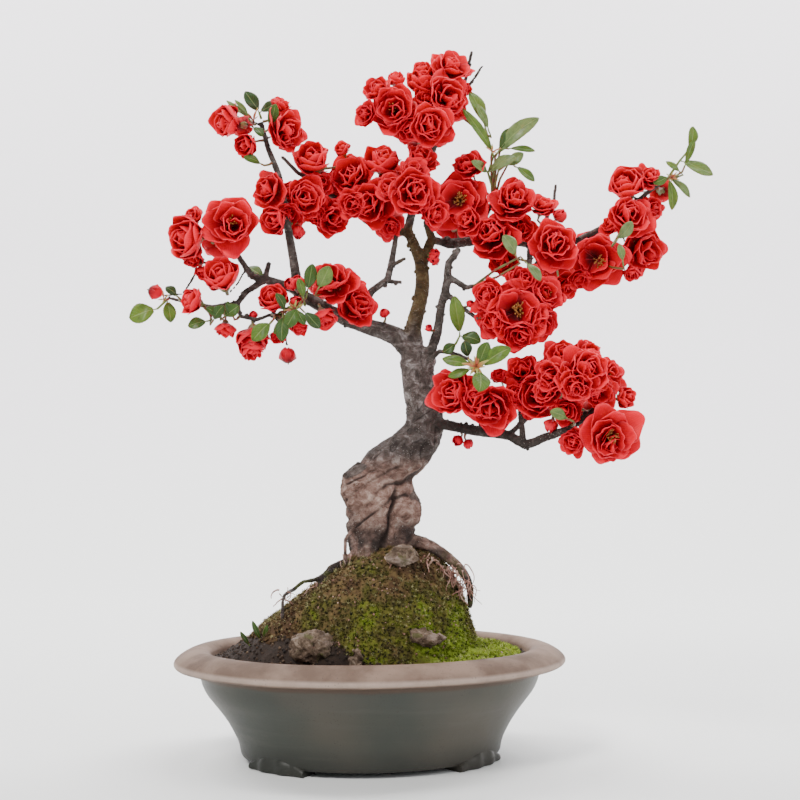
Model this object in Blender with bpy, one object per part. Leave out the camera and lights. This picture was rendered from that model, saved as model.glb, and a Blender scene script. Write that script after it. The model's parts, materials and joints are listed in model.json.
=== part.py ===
"""Flowering quince bonsai in a shallow oval stoneware pot.

Lengths are in millimetres and become metres where a mesh is made. X runs along the tree's wide
side, Y away from its front, Z up from the pot's feet. The pot stands turned a little on its own
axis. The whole model is placed so that its origin is under the middle of its outer box.
"""
import math

import bmesh
import bpy
from mathutils import Vector, noise

MM = 0.001

# Pot, driving sizes
POT_LENGTH = 220.0
POT_WIDTH = 165.0
POT_HEIGHT = 62.0
LIP_WIDTH = 21.0
LIP_DROP = 8.0
LIP_SHOULDER = 11.5
BASE_LENGTH = 144.0
BASE_WIDTH = 108.0
WALL = 6.5
FLOOR = 6.0
FOOT_HEIGHT = 3.0
FOOT_SPREAD = 17.0
FOOT_BULGE = 2.6
POT_TURN = 8.5
ROUND_SIDES = 28

# Drainage
DRAIN_DIAMETER = 14.0
DRAIN_SPACING = 64.0
SCREEN_DIAMETER = 24.0
SCREEN_THICKNESS = 1.2
CLIP_WIRE = 1.2
CLIP_LEG_SPACING = 9.0
CLIP_SPAN = 24.0

# Soil and moss
SOIL_BELOW_LIP = 5.0
MOUND_HEIGHT = 60.0
MOUND_OFFSET = 14.0
MOUND_LEFT = 98.0
MOUND_RIGHT = 46.0
MOSS_THICKNESS = 3.0

# Tree
TREE_SCALE = 1.0
WOOD_GIRTH = 1.0
BLOSSOM_SIZE = 1.0
SPUR_DIAMETER = 1.9
STALK_DIAMETER = 1.6
LEAF_THICKNESS = 0.9

# Gaps between touching pieces
GAP = 0.35
SOIL_GAP = 1.0
PETAL_GAP = 0.6

# The pot's sections. The body: (share of the way out from base to shoulder, share of its height)
BODY_FLARE = ((-0.06, 0.0), (0.03, 0.035), (0.06, 0.12), (0.16, 0.26), (0.31, 0.41), (0.52, 0.57),
              (0.72, 0.71), (0.84, 0.84), (0.90, 0.94), (1.0, 1.0))
NECK_DROP = 3.5
# The lip: (inset from the pot's outline, height over the lip's edge), drawn for a lip this wide and this deep
LIP_SECTION = ((6.0, -2.6), (1.4, -1.6), (0.0, 0.0), (0.9, 2.0), (4.0, 4.8), (8.0, 7.0), (12.5, 8.0),
               (17.0, 7.7), (19.8, 6.3))
DRAWN_LIP_WIDTH = 21.0
DRAWN_LIP_DROP = 8.0
# The inside: (share of the way out from base to shoulder, share of its height), from the mouth down
INNER_FLARE = ((0.62, 0.78), (0.45, 0.58), (0.25, 0.38), (0.08, 0.2), (-0.05, 0.07))
MOUTH_DROP = 4.2
FLOOR_INSET = 12.0
# The feet: where their middles are round the base, in degrees, and how far their solids reach inward
FOOT_MIDDLES = (38, 142, 218, 322)
FOOT_INWARD = -11.0

# Ground: the grid's rings under the moss and beyond it
MOSS_RINGS = 5
BARE_RINGS = 2

SOIL_LEVEL = POT_HEIGHT - SOIL_BELOW_LIP
DESIGN_SOIL_LEVEL = 57.0

# The wood: each run is a list of (x, y, z, diameter), from the root end to the tip
WOOD = {
    "trunk": [(6, 2, 89, 20), (6, 2, 103, 29), (6, 1, 116, 37), (5, 0, 132, 39.5), (6, -1, 149, 38.5),
              (11, -2, 162, 31.5), (20, -3, 170, 26.5), (28, -3, 180, 23.5), (30, -1, 191, 21),
              (27, 1, 204, 18.2), (26, 2, 216, 18.6), (26, 4, 228, 18.4)],
    "left_limb": [(26, 4, 224, 14), (14, 2, 236, 11.3), (-2, -3, 241, 9), (-15, -9, 245, 7.8),
                  (-28, -13, 252, 7.2), (-41, -16, 259, 6.9)],
    "left_leader": [(-40, -16, 257, 6.6), (-43, -15, 277, 5), (-46, -12, 293, 4.4), (-49, -9, 310, 4.1),
                    (-52, -8, 326, 3.5), (-58, -6, 341, 3), (-62, -5, 356, 2.2)],
    "left_spread": [(-39, -16, 259, 6.1), (-48, -18, 263, 5.2), (-59, -21, 266, 4.4)],
    "left_cut": [(-59, -21, 264, 3.6), (-56, -21, 275, 2.7)],
    "left_high": [(-57, -21, 266, 3.8), (-65, -23, 267, 3.6), (-73, -26, 279, 3), (-85, -25, 287, 2.5),
                  (-96, -24, 290, 2)],
    "left_low": [(-57, -21, 266, 3.8), (-68, -24, 259, 3.6), (-73, -26, 252, 3.3), (-86, -27, 250, 2.7),
                 (-98, -28, 252, 2.2), (-110, -28, 255, 1.8)],
    "left_under": [(-73, -26, 253, 2.7), (-71, -28, 245, 2.3), (-62, -30, 243, 2.2), (-53, -31, 246, 1.8)],
    "inner_twig": [(-10, -7, 243, 4.5), (0, -4, 261, 4.2), (9, 0, 268, 3.9), (11, 3, 277, 3.7),
                   (14, 6, 294, 2.6)],
    "inner_snag_low": [(8, 0, 267, 2.8), (17, -3, 266, 2)],
    "inner_snag_high": [(11, 3, 276, 2.8), (19, 0, 280, 2)],
    "leader": [(25, 4, 223, 12.5), (23, 4, 239, 9.8), (27, 6, 254, 8.6), (29, 8, 268, 8.3),
               (27, 9, 281, 7.1), (20, 10, 298, 5.4)],
    "crown_left": [(22, 10, 295, 4.6), (9, 12, 298, 4), (-2, 14, 302, 3.4), (-17, 12, 313, 2.9),
                   (-31, 8, 323, 2.5), (-42, 4, 329, 2.3), (-51, 2, 338, 1.9)],
    "crown_top": [(20, 10, 295, 5.1), (23, 11, 308, 4.6), (28, 9, 322, 4), (34, 7, 340, 3.4),
                  (39, 6, 353, 2.8), (48, 6, 366, 2.3), (53, 6, 381, 2), (57, 6, 399, 1.7)],
    "crown_inner": [(34, 7, 341, 2.8), (30, 5, 355, 2.4), (23, 4, 365, 2)],
    "crown_tip": [(52, 6, 375, 1.9), (58, 7, 383, 1.7), (63, 8, 391, 1.6)],
    "right_limb": [(28, 9, 275, 6.8), (34, 12, 292, 6.3), (44, 15, 290, 6), (59, 17, 292, 5.5),
                   (76, 18, 293, 4.9), (92, 18, 290, 4.6), (108, 17, 287, 4), (130, 15, 298, 3.4),
                   (145, 13, 308, 3), (159, 12, 320, 2.5), (169, 12, 327, 1.9)],
    "right_cut": [(35, 12, 290, 5.1), (31, 12, 303, 4)],
    "right_spray": [(57, 17, 291, 4), (64, 12, 304, 3.4), (70, 9, 315, 2.6)],
    "right_back": [(91, 18, 290, 3.5), (100, 18, 304, 2.6), (105, 18, 315, 2.1), (106, 18, 325, 1.7)],
    "right_drop": [(91, 18, 290, 3.7), (90, 11, 276, 3.1), (85, 2, 262, 2.6)],
    "right_thin": [(31, 0, 220, 7.3), (37, -6, 238, 5.3), (39, -9, 252, 4.7), (42, -11, 264, 4.6),
                   (43, -11, 276, 4.1), (49, -10, 284, 3.3)],
    "right_thin_out": [(42, -11, 269, 3.9), (53, -13, 262, 3.1), (57, -14, 263, 2.4)],
    "right_thin_low": [(41, -10, 260, 3.6), (49, -14, 252, 2.7), (59, -20, 244, 2.2)],
    "low_branch": [(28, -1, 190, 8.4), (41, -7, 186, 6.1), (62, -18, 182, 5.5), (76, -25, 180, 5.1),
                   (84, -29, 175, 5.1), (94, -33, 179, 4.5), (105, -37, 183, 4), (118, -38, 192, 3),
                   (125, -36, 200, 2.4)],
    "low_cut": [(83, -29, 175, 4), (82, -29, 187, 3.3), (81, -28, 199, 2.6), (83, -24, 206, 2.2)],
    "low_inner": [(61, -18, 182, 3.5), (60, -22, 192, 2.7), (53, -22, 198, 2.2)],
    "low_outer": [(105, -37, 182, 3.2), (111, -31, 195, 2.7), (114, -22, 206, 2.4), (111, -12, 216, 2.2)],
    "low_back": [(75, -25, 180, 3.3), (87, -12, 190, 2.8), (97, -2, 199, 2.5), (105, 8, 206, 2.3)],
    "centre_twig": [(29, -4, 219, 3.6), (38, -9, 227, 2.6), (48, -14, 225, 2.2), (56, -16, 221, 1.9)],
    "root_right": [(15, -4, 120, 11.2), (25, -8, 121, 7.8), (34, -10, 118, 6.7), (43, -11, 112, 6.1),
                   (51, -10, 104, 5), (55, -8, 95, 4), (55, -6, 84, 2.8)],
    "root_left": [(-3, -8, 117, 10), (-14, -12, 109, 6.3), (-22, -15, 106, 5), (-26, -17, 101, 4.6),
                  (-29, -18, 93, 4.1), (-30, -17, 80, 2.8)],
    "root_wisp": [(-22, -15, 106, 2.8), (-30, -19, 101, 2.4), (-37, -22, 100, 2.2), (-42, -24, 96, 2.2),
                  (-47, -26, 93, 2), (-48, -27, 84, 1.9), (-47, -26, 70, 1.7)],
    "root_drop": [(-9, -12, 129, 3.3), (-14, -19, 123, 2.2), (-14, -20, 113, 2.1), (-13, -20, 106, 2.1),
                  (-16, -20, 94, 1.9)],
    "root_front": [(0, -10, 122, 17.8), (-3, -17, 111, 13.2), (-5, -20, 96, 6.6)],
    "root_front_right": [(13, -8, 124, 15.6), (14, -13, 113, 11.1), (14, -16, 97, 5.5)],
    "root_back": [(2, 10, 118, 17), (0, 22, 104, 10.4), (-3, 32, 84, 4.7)],
    "root_back_right": [(17, 10, 118, 13.7), (25, 24, 104, 7.6), (32, 32, 84, 4.1)],
}
ROOTS = [name for name in WOOD if name.startswith("root")]
CURVED = ("trunk", "left_limb", "leader", "low_branch", "root_right", "left_leader", "root_wisp")
# Burrs on the trunk: (x, y, z) and the three half-widths
BURRS = [((-3, -7, 149), (15, 12, 17)), ((19, -7, 138), (9.5, 9, 12)), ((26, 3, 221), (11, 9, 8))]

# Blossoms: name, (x, y, z), half-width, the way it faces
BLOSSOMS = [
    ("left_top_1", (-81, -16, 354), 9.1, (-0.6, -0.6, -0.2)),
    ("left_top_2", (-46, -10, 350), 10.0, (0.6, -0.7, 0.1)),
    ("left_high_1", (-75, -42, 295), 15.0, (0.1, -1, 0.15)),
    ("left_high_2", (-100, -30, 287), 11.9, (-0.6, -0.8, -0.1)),
    ("left_mid", (-81, -36, 267), 10.0, (-0.2, -0.7, 0.7)),
    ("left_tip", (-97, -38, 253), 7.0, (-0.7, -0.6, 0.2)),
    ("limb_1", (-53, -32, 254), 7.9, (-0.1, -0.8, 0.5)),
    ("limb_2", (-20, -24, 265), 10.9, (-0.1, -0.8, 0.6)),
    ("limb_3", (-9, -20, 253), 10.4, (0.6, -0.8, 0.2)),
    ("limb_4", (-63, -34, 231), 8.9, (0.1, -0.4, -0.9)),
    ("leader_left_1", (-57, -20, 316), 8.8, (-0.6, -0.8, 0.1)),
    ("leader_left_2", (-54, -22, 298), 7.7, (-0.5, -0.8, -0.3)),
    ("leader_left_3", (-39, -8, 314), 10.6, (0.2, -0.9, 0.1)),
    ("leader_left_4", (-23, 2, 303), 9.3, (0.5, -0.8, -0.2)),
    ("crown_left_1", (-33, -2, 338), 10.4, (-0.2, -0.8, 0.6)),
    ("crown_left_2", (-14, 0, 325), 13.0, (-0.2, -0.9, 0.3)),
    ("crown_left_3", (-1, -2, 313), 11.8, (-0.4, -0.9, 0)),
    ("crown_left_4", (5, 2, 336), 9.6, (0, -0.7, 0.7)),
    ("crown_front", (22, -12, 313), 17.2, (0.1, -1, 0)),
    ("crown_back", (31, 26, 362), 13.4, (0, 1, 0.2)),
    ("top_1", (14, -8, 363), 16.7, (-0.2, -1, 0.1)),
    ("top_2", (30, 0, 382), 9.0, (-0.2, -0.6, 0.7)),
    ("top_3", (45, -2, 388), 9.3, (0.3, -0.7, 0.6)),
    ("top_4", (44, -8, 368), 11.7, (0.5, -0.8, 0.1)),
    ("top_5", (32, -12, 352), 10.5, (0.2, -0.9, -0.2)),
    ("middle_1", (51, -2, 312), 14.9, (-0.1, -1, 0)),
    ("middle_2", (79, 0, 313), 11.3, (0.1, -0.8, 0.5)),
    ("middle_3", (67, -2, 293), 12.9, (-0.4, -0.9, 0.1)),
    ("middle_4", (103, -12, 285), 17.8, (0.2, -1, 0.1)),
    ("middle_5", (79, -24, 248), 21.9, (0, -1, 0)),
    ("middle_back", (109, 42, 283), 15.4, (0.1, 1, 0.1)),
    ("right_1", (128, -4, 279), 14.0, (-0.1, -1, -0.1)),
    ("right_2", (145, 0, 323), 10.7, (-0.3, -0.8, 0.5)),
    ("right_3", (146, 2, 304), 10.7, (0.1, -0.8, 0.2)),
    ("right_4", (156, 6, 286), 13.6, (0.5, -0.8, -0.3)),
    ("low_1", (44, -28, 203), 12.0, (-0.5, -0.8, 0.1)),
    ("low_2", (66, -34, 196), 12.4, (-0.1, -0.9, -0.3)),
    ("low_3", (90, -38, 202), 11.3, (-0.2, -0.9, 0)),
    ("low_4", (114, -46, 210), 19.1, (0.2, -1, 0.2)),
    ("low_5", (127, -52, 183), 16.4, (0.1, -1, -0.1)),
    ("low_back", (110, 14, 204), 13.0, (0.1, 1, 0)),
]
BUDS = [
    ("left_tip", (-117, -28, 258), 4.4, (-0.9, -0.3, 0.3)),
    ("limb", (-45, -31, 224), 4.9, (0.1, -0.3, -0.95)),
]

# Leafy shoots: the stem's points, and each leaf's (foot on the stem, tip, width)
SHOOTS = {
    "middle": ([(70, 8, 317), (66, 4, 329), (69, 2, 338), (64, 0, 355)],
               [(3, (56, -2, 374), 8), (2, (52, -8, 363), 6), (2, (94, -4, 359), 9),
                (1, (80, -8, 336), 7), (1, (57, -6, 334), 6)]),
    "right_tip": ([(170, 12, 328), (176, 10, 337), (181, 8, 343)],
                  [(2, (183, 6, 356), 6), (1, (194, 4, 329), 8), (0, (172, 10, 309), 6),
                   (0, (183, 13, 317), 5)]),
    "left_tip": ([(-111, -28, 254), (-116, -29, 249)],
                 [(1, (-131, -31, 244), 11), (0, (-108, -32, 242), 7)]),
    "centre": ([(44, -15, 228), (47, -16, 231), (49, -16, 235)],
               [(2, (46, -25, 256), 9), (2, (60, -22, 232), 8), (1, (40, -19, 226), 6)]),
    "left_top": ([(-62, -5, 358), (-63, -6, 361)],
                 [(1, (-70, -11, 372), 8), (1, (-54, -3, 368), 6)]),
}

# Stones: name, (x, y), how far the middle is above the soil, half-widths, turn about Z in degrees
STONES = [
    ("stone_at_trunk", (17, -27), 6.5, (10, 7, 6.5), 6),
    ("stone_front", (29, -42), 1.5, (12.5, 8, 5.5), -8),
    ("stone_left", (-31, -48), 1.5, (13, 8, 9), 12),
    ("stone_pebble", (-7, -55), 6, (3.4, 3.4, 6.2), 0),
]


# ---- helpers ----

def material(name, colour, roughness, metallic=0.0):
    """One Principled material."""
    made = bpy.data.materials.new(name)
    made.use_nodes = True
    shader = made.node_tree.nodes["Principled BSDF"]
    shader.inputs["Base Color"].default_value = (*colour, 1.0)
    shader.inputs["Roughness"].default_value = roughness
    shader.inputs["Metallic"].default_value = metallic
    made.diffuse_color = (*colour, 1.0)
    return made


def solid(name, points, faces, finish, smooth=True):
    """An object from points in millimetres and faces of point numbers, facing out."""
    mesh = bpy.data.meshes.new(name)
    mesh.from_pydata([tuple(MM * value for value in point) for point in points], [], faces)
    mesh.validate()
    work = bmesh.new()
    work.from_mesh(mesh)
    bmesh.ops.recalc_face_normals(work, faces=work.faces)
    work.to_mesh(mesh)
    work.free()
    if smooth:
        mesh.shade_smooth()
        mesh.set_sharp_from_angle(angle=math.radians(50))
    mesh.materials.append(finish)
    made = bpy.data.objects.new(name, mesh)
    bpy.context.scene.collection.objects.link(made)
    return made


def helper(made, group=None):
    """Hides an object that only cuts or joins, and puts it in a group."""
    made.hide_render = True
    made.display_type = "WIRE"
    if group:
        group.objects.link(made)
        bpy.context.scene.collection.objects.unlink(made)
    return made


def new_group(name):
    group = bpy.data.collections.new(name)
    bpy.context.scene.collection.children.link(group)
    return group


def boolean(made, operation, other):
    """A Boolean modifier with one object or a whole group."""
    step = made.modifiers.new(operation.lower(), "BOOLEAN")
    step.operation = operation
    step.solver = "EXACT"
    step.use_self = operation == "UNION"
    if isinstance(other, bpy.types.Collection):
        step.operand_type = "COLLECTION"
        step.collection = other
    else:
        step.object = other


def rings_to_faces(ring_count, sides):
    """Triangles that join rings of equal length, whose end rings are fans to two added points."""
    faces = []
    for ring in range(ring_count - 1):
        for side in range(sides):
            after = (side + 1) % sides
            a, b = ring * sides + side, ring * sides + after
            c, d = a + sides, b + sides
            faces += [(a, b, d), (a, d, c)]
    first, last, start = ring_count * sides, ring_count * sides + 1, (ring_count - 1) * sides
    for side in range(sides):
        after = (side + 1) % sides
        faces.append((first, after, side))
        faces.append((last, start + side, start + after))
    return faces


def turned(point, degrees):
    """A point turned about the Z axis."""
    angle = math.radians(degrees)
    x, y, z = point
    return (x * math.cos(angle) - y * math.sin(angle), x * math.sin(angle) + y * math.cos(angle), z)


def smooth_path(points, steps):
    """Catmull-Rom points through (x, y, z, diameter) points, with steps stretches for each."""
    if steps == 1:
        return [tuple(point) for point in points]
    padded = [points[0], *points, points[-1]]
    path = []
    for i in range(len(points) - 1):
        p0, p1, p2, p3 = padded[i:i + 4]
        for step in range(steps):
            t = step / steps
            path.append(tuple(
                0.5 * (2 * b + (c - a) * t + (2 * a - 5 * b + 4 * c - d) * t * t
                       + (3 * b - a - 3 * c + d) * t ** 3)
                for a, b, c, d in zip(p0, p1, p2, p3)))
    path.append(tuple(points[-1]))
    return path


def tube(name, path, sides, finish, grow=0.0):
    """A round-ended tube along (x, y, z, diameter) points."""
    centres = [Vector(point[:3]) for point in path]
    radii = [point[3] / 2 + grow for point in path]
    normal = None
    rings = []
    for i, centre in enumerate(centres):
        ahead = centres[min(i + 1, len(centres) - 1)]
        behind = centres[max(i - 1, 0)]
        along = (ahead - behind).normalized()
        if normal is None:
            normal = along.orthogonal().normalized()
        normal = (normal - along * normal.dot(along)).normalized()
        across = along.cross(normal)
        rings += [centre + radii[i] * (normal * math.cos(2 * math.pi * k / sides)
                                       + across * math.sin(2 * math.pi * k / sides))
                  for k in range(sides)]
    start_out = (centres[0] - centres[1]).normalized() * radii[0] * 0.4
    end_out = (centres[-1] - centres[-2]).normalized() * radii[-1] * 0.4
    points = [*rings, centres[0] + start_out, centres[-1] + end_out]
    return solid(name, points, rings_to_faces(len(path), sides), finish)


def cylinder(name, centre, radius, low, high, sides, finish):
    """An upright cylinder."""
    points = [(centre[0] + radius * math.cos(2 * math.pi * k / sides),
               centre[1] + radius * math.sin(2 * math.pi * k / sides), z)
              for z in (low, high) for k in range(sides)]
    points += [(centre[0], centre[1], low), (centre[0], centre[1], high)]
    return solid(name, points, rings_to_faces(2, sides), finish)


def pebble(name, centre, half, turn, finish, grow=0.0):
    """A rough rounded stone: a ball whose points are moved by smooth noise."""
    work = bmesh.new()
    bmesh.ops.create_icosphere(work, subdivisions=2, radius=1.0)
    points = []
    for vert in work.verts:
        rough = 1 + 0.22 * noise.noise(vert.co * 1.4 + Vector(centre) * 0.13)
        size = [width * rough + grow for width in half]
        point = turned([size[axis] * vert.co[axis] for axis in range(3)], turn)
        points.append(tuple(a + b for a, b in zip(point, centre)))
    faces = [tuple(vert.index for vert in face.verts) for face in work.faces]
    work.free()
    return solid(name, points, faces, finish)


# ---- where things are ----

def lifted(point):
    """A point of the tree at its own scale, carried by the soil level."""
    x, y, z = point[:3]
    return (x * TREE_SCALE, y * TREE_SCALE, SOIL_LEVEL + (z - DESIGN_SOIL_LEVEL) * TREE_SCALE)


def wood_path(name):
    """The smoothed centre line of one run of wood."""
    points = [(*lifted(point), point[3] * WOOD_GIRTH * TREE_SCALE) for point in WOOD[name]]
    return smooth_path(points, 2 if name in CURVED else 1)


def body_half(half_length):
    """The half-width of the pot's body where its half-length is given."""
    base, shoulder = BASE_LENGTH / 2, POT_LENGTH / 2 - LIP_SHOULDER
    share = (half_length - base) / (shoulder - base)
    return BASE_WIDTH / 2 + share * (POT_WIDTH / 2 - LIP_SHOULDER - BASE_WIDTH / 2)


def outer_profile():
    """(half-length, half-width, height) from the underside's edge up to the lip's inner edge."""
    base, shoulder = BASE_LENGTH / 2, POT_LENGTH / 2 - LIP_SHOULDER
    edge = POT_HEIGHT - LIP_DROP
    rise = edge - NECK_DROP - FOOT_HEIGHT
    rows = []
    for share, height in BODY_FLARE:
        half = base + share * (shoulder - base)
        rows.append((half, body_half(half), FOOT_HEIGHT + height * rise))
    for drawn_inset, drawn_up in LIP_SECTION:
        inset = drawn_inset * LIP_WIDTH / DRAWN_LIP_WIDTH
        up = drawn_up * LIP_DROP / DRAWN_LIP_DROP if drawn_up > 0 else drawn_up
        rows.append((POT_LENGTH / 2 - inset, POT_WIDTH / 2 - inset, edge + up))
    return rows


def cavity_profile(clearance=0.0):
    """(half-length, half-width, height) down the inside wall, from the lip's inner edge to the floor."""
    base, shoulder = BASE_LENGTH / 2, POT_LENGTH / 2 - LIP_SHOULDER
    mouth, mouth_width = POT_LENGTH / 2 - LIP_WIDTH, POT_WIDTH / 2 - LIP_WIDTH
    top = POT_HEIGHT - MOUTH_DROP
    floor = FOOT_HEIGHT + FLOOR
    rows = [(mouth, mouth_width, top)]
    for share, height in INNER_FLARE:
        half = min(base + share * (shoulder - base) - 0.2 * WALL, mouth)
        inward = WALL - 1.0 - 4.0 * share
        rows.append((min(half - inward, mouth - 0.4), min(body_half(half) - inward, mouth_width - 0.4),
                     floor + height * (top - floor)))
    rows.append((base - FLOOR_INSET, BASE_WIDTH / 2 - FLOOR_INSET, floor))
    return [(a - clearance, b - clearance, z + (clearance if z < top else 0)) for a, b, z in rows]


def soil_height(x, y):
    """The soil's surface: flat by the lip, with a mound under the tree that is steep but at its left."""
    dx, dy = x / TREE_SCALE - MOUND_OFFSET, y / TREE_SCALE * 72 / 52
    stretched = max(math.hypot(dx, dy), 1e-6)
    right = 0.5 + 0.5 * dx / stretched
    reach = MOUND_LEFT + (MOUND_RIGHT - MOUND_LEFT) * right
    power = 1.05 + 1.95 * max(right, (dy / stretched) ** 2)
    share = max(0.0, 1 - (stretched / reach) ** power)
    rough = noise.noise(Vector((x, y, 0)) * 0.07) * 2.4 * min(1, 3 * share)
    return SOIL_LEVEL + (MOUND_HEIGHT * share + rough) * TREE_SCALE


def moss_reach(angle):
    """How far out the moss grows, as a share of the way to the wall: less at the left and the front left."""
    left = 0.5 - 0.5 * math.cos(angle)
    front_left = math.exp(-((angle - math.radians(238)) / math.radians(27)) ** 2)
    return 0.93 - 0.16 * left ** 2 - 0.1 * front_left + 0.02 * math.sin(5 * angle)


def surface_point(share, angle):
    """A soil surface point, share of the way from the mound's top to the pot's wall."""
    mouth = cavity_profile(SOIL_GAP)[0]
    x = MOUND_OFFSET * TREE_SCALE * (1 - share) + share * mouth[0] * math.cos(angle)
    y = share * mouth[1] * math.sin(angle)
    x, y, _ = turned((x, y, 0), POT_TURN * share)
    return x, y, soil_height(x, y)


# ---- the pot ----

def build_pot(finish):
    """The stoneware body, its four cloud feet and its two drain holes."""
    profile = outer_profile() + cavity_profile()
    angles = [2 * math.pi * k / ROUND_SIDES for k in range(ROUND_SIDES)]
    points = [turned((a * math.cos(angle), b * math.sin(angle), z), POT_TURN)
              for a, b, z in profile for angle in angles]
    points += [(0, 0, FOOT_HEIGHT), (0, 0, FOOT_HEIGHT + FLOOR)]
    pot = solid("pot", points, rings_to_faces(len(profile), ROUND_SIDES), finish)
    feet = new_group("feet_joined")
    for number, middle in enumerate(FOOT_MIDDLES):
        helper(build_foot(f"foot_{number}", middle, finish), feet)
    boolean(pot, "UNION", feet)
    drains = new_group("drain_cuts")
    for side in (-1, 1):
        x, y, _ = turned((side * DRAIN_SPACING / 2, 0, 0), POT_TURN)
        hole = cylinder(f"drain_{side}", (x, y), DRAIN_DIAMETER / 2, -1, FOOT_HEIGHT + FLOOR + 1, 16, finish)
        helper(hole, drains)
    boolean(pot, "DIFFERENCE", drains)


def build_foot(name, middle, finish):
    """One low cloud foot: soft lobes that follow the base's corner."""
    steps, sides = 6, 6
    sections = []
    for step in range(steps + 1):
        share = step / steps
        angle = math.radians(middle + (share - 0.5) * 2 * FOOT_SPREAD)
        reach = FOOT_BULGE * (0.8 + 0.2 * math.cos(6 * math.pi * share))
        height = FOOT_HEIGHT + 5.5 * math.sin(math.pi * share) + 1.5
        for out, z in ((FOOT_INWARD, 0), (reach - 1.2, 0), (reach, 1.4), (reach - 0.3, height * 0.7),
                       (-1.5, height), (FOOT_INWARD, height)):
            place = ((BASE_LENGTH / 2 + out) * math.cos(angle), (BASE_WIDTH / 2 + out) * math.sin(angle), z)
            sections.append(turned(place, POT_TURN))
    start = [sum(point[axis] for point in sections[:sides]) / sides for axis in range(3)]
    end = [sum(point[axis] for point in sections[-sides:]) / sides for axis in range(3)]
    return solid(name, [*sections, start, end], rings_to_faces(steps + 1, sides), finish)


def build_drainage(screen_finish, wire_finish):
    """A plastic screen over each drain hole, and the bent wire that holds it."""
    floor = FOOT_HEIGHT + FLOOR
    low = floor + GAP
    for side, word in ((-1, "left"), (1, "right")):
        x, y, _ = turned((side * DRAIN_SPACING / 2, 0, 0), POT_TURN)
        screen = cylinder(f"drain_screen_{word}", (x, y), SCREEN_DIAMETER / 2, low, low + SCREEN_THICKNESS,
                          20, screen_finish)
        legs = new_group(f"screen_cuts_{word}")
        for leg in (-1, 1):
            leg_x, leg_y, _ = turned((leg * CLIP_LEG_SPACING / 2, 0, 0), POT_TURN)
            helper(cylinder(f"leg_cut_{word}_{leg}", (x + leg_x, y + leg_y), CLIP_WIRE / 2 + GAP,
                            low - 1, low + SCREEN_THICKNESS + 1, 8, screen_finish), legs)
        boolean(screen, "DIFFERENCE", legs)
        under = FOOT_HEIGHT - GAP - CLIP_WIRE / 2
        over = low + SCREEN_THICKNESS + GAP + CLIP_WIRE / 2
        outline = [(-CLIP_SPAN / 2, under), (-CLIP_LEG_SPACING / 2, under), (-CLIP_LEG_SPACING / 2, over),
                   (CLIP_LEG_SPACING / 2, over), (CLIP_LEG_SPACING / 2, under), (CLIP_SPAN / 2, under)]
        path = []
        for across, z in outline:
            dx, dy, _ = turned((across, 0, 0), POT_TURN)
            path.append((x + dx, y + dy, z))
        wire = bpy.data.curves.new(f"screen_clip_{word}", "CURVE")
        wire.dimensions = "3D"
        wire.bevel_depth = CLIP_WIRE / 2 * MM
        wire.bevel_resolution = 1
        wire.use_fill_caps = True
        spline = wire.splines.new("POLY")
        spline.points.add(len(path) - 1)
        for point, place in zip(spline.points, path):
            point.co = (*[value * MM for value in place], 1.0)
        wire.materials.append(wire_finish)
        bpy.context.scene.collection.objects.link(bpy.data.objects.new(f"screen_clip_{word}", wire))


# ---- soil, moss and stones ----

def build_ground(soil_finish, moss_finish, sockets):
    """The soil that fills the pot, and the moss carpet on it, on one grid so that they never touch."""
    angles = [2 * math.pi * k / ROUND_SIDES for k in range(ROUND_SIDES)]
    top = []
    for ring in range(1, MOSS_RINGS + BARE_RINGS + 1):
        for angle in angles:
            edge = moss_reach(angle)
            if ring <= MOSS_RINGS:
                share = edge * ring / MOSS_RINGS
            else:
                share = edge + (1 - edge) * (ring - MOSS_RINGS) / BARE_RINGS
            top.append(surface_point(share, angle))
    walls = []
    for a, b, z in cavity_profile(SOIL_GAP)[1:]:
        walls += [turned((a * math.cos(angle), b * math.sin(angle), z), POT_TURN) for angle in angles]
    peak = (MOUND_OFFSET * TREE_SCALE, 0, soil_height(MOUND_OFFSET * TREE_SCALE, 0))
    floor = (0, 0, FOOT_HEIGHT + FLOOR + SOIL_GAP)
    rings = MOSS_RINGS + BARE_RINGS + len(walls) // ROUND_SIDES
    soil = solid("potting_soil", [*top, *walls, peak, floor], rings_to_faces(rings, ROUND_SIDES), soil_finish)
    boolean(soil, "DIFFERENCE", sockets)
    lift = 1.5 * GAP
    lower = [(x, y, z + lift) for x, y, z in top[:MOSS_RINGS * ROUND_SIDES]]
    upper = []
    for index, (x, y, z) in enumerate(lower):
        ring = index // ROUND_SIDES + 1
        thick = MOSS_THICKNESS * (1 if ring < MOSS_RINGS else 0.3)
        upper.append((x, y, z + thick * (1 + 0.3 * noise.noise(Vector((x, y, 5)) * 0.12))))
    points = upper + [lower[(MOSS_RINGS - 1 - ring) * ROUND_SIDES + k]
                      for ring in range(MOSS_RINGS) for k in range(ROUND_SIDES)]
    points += [(*peak[:2], peak[2] + lift + MOSS_THICKNESS), (*peak[:2], peak[2] + lift)]
    moss = solid("moss_carpet", points, moss_faces(MOSS_RINGS, ROUND_SIDES), moss_finish)
    boolean(moss, "DIFFERENCE", sockets)


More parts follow.
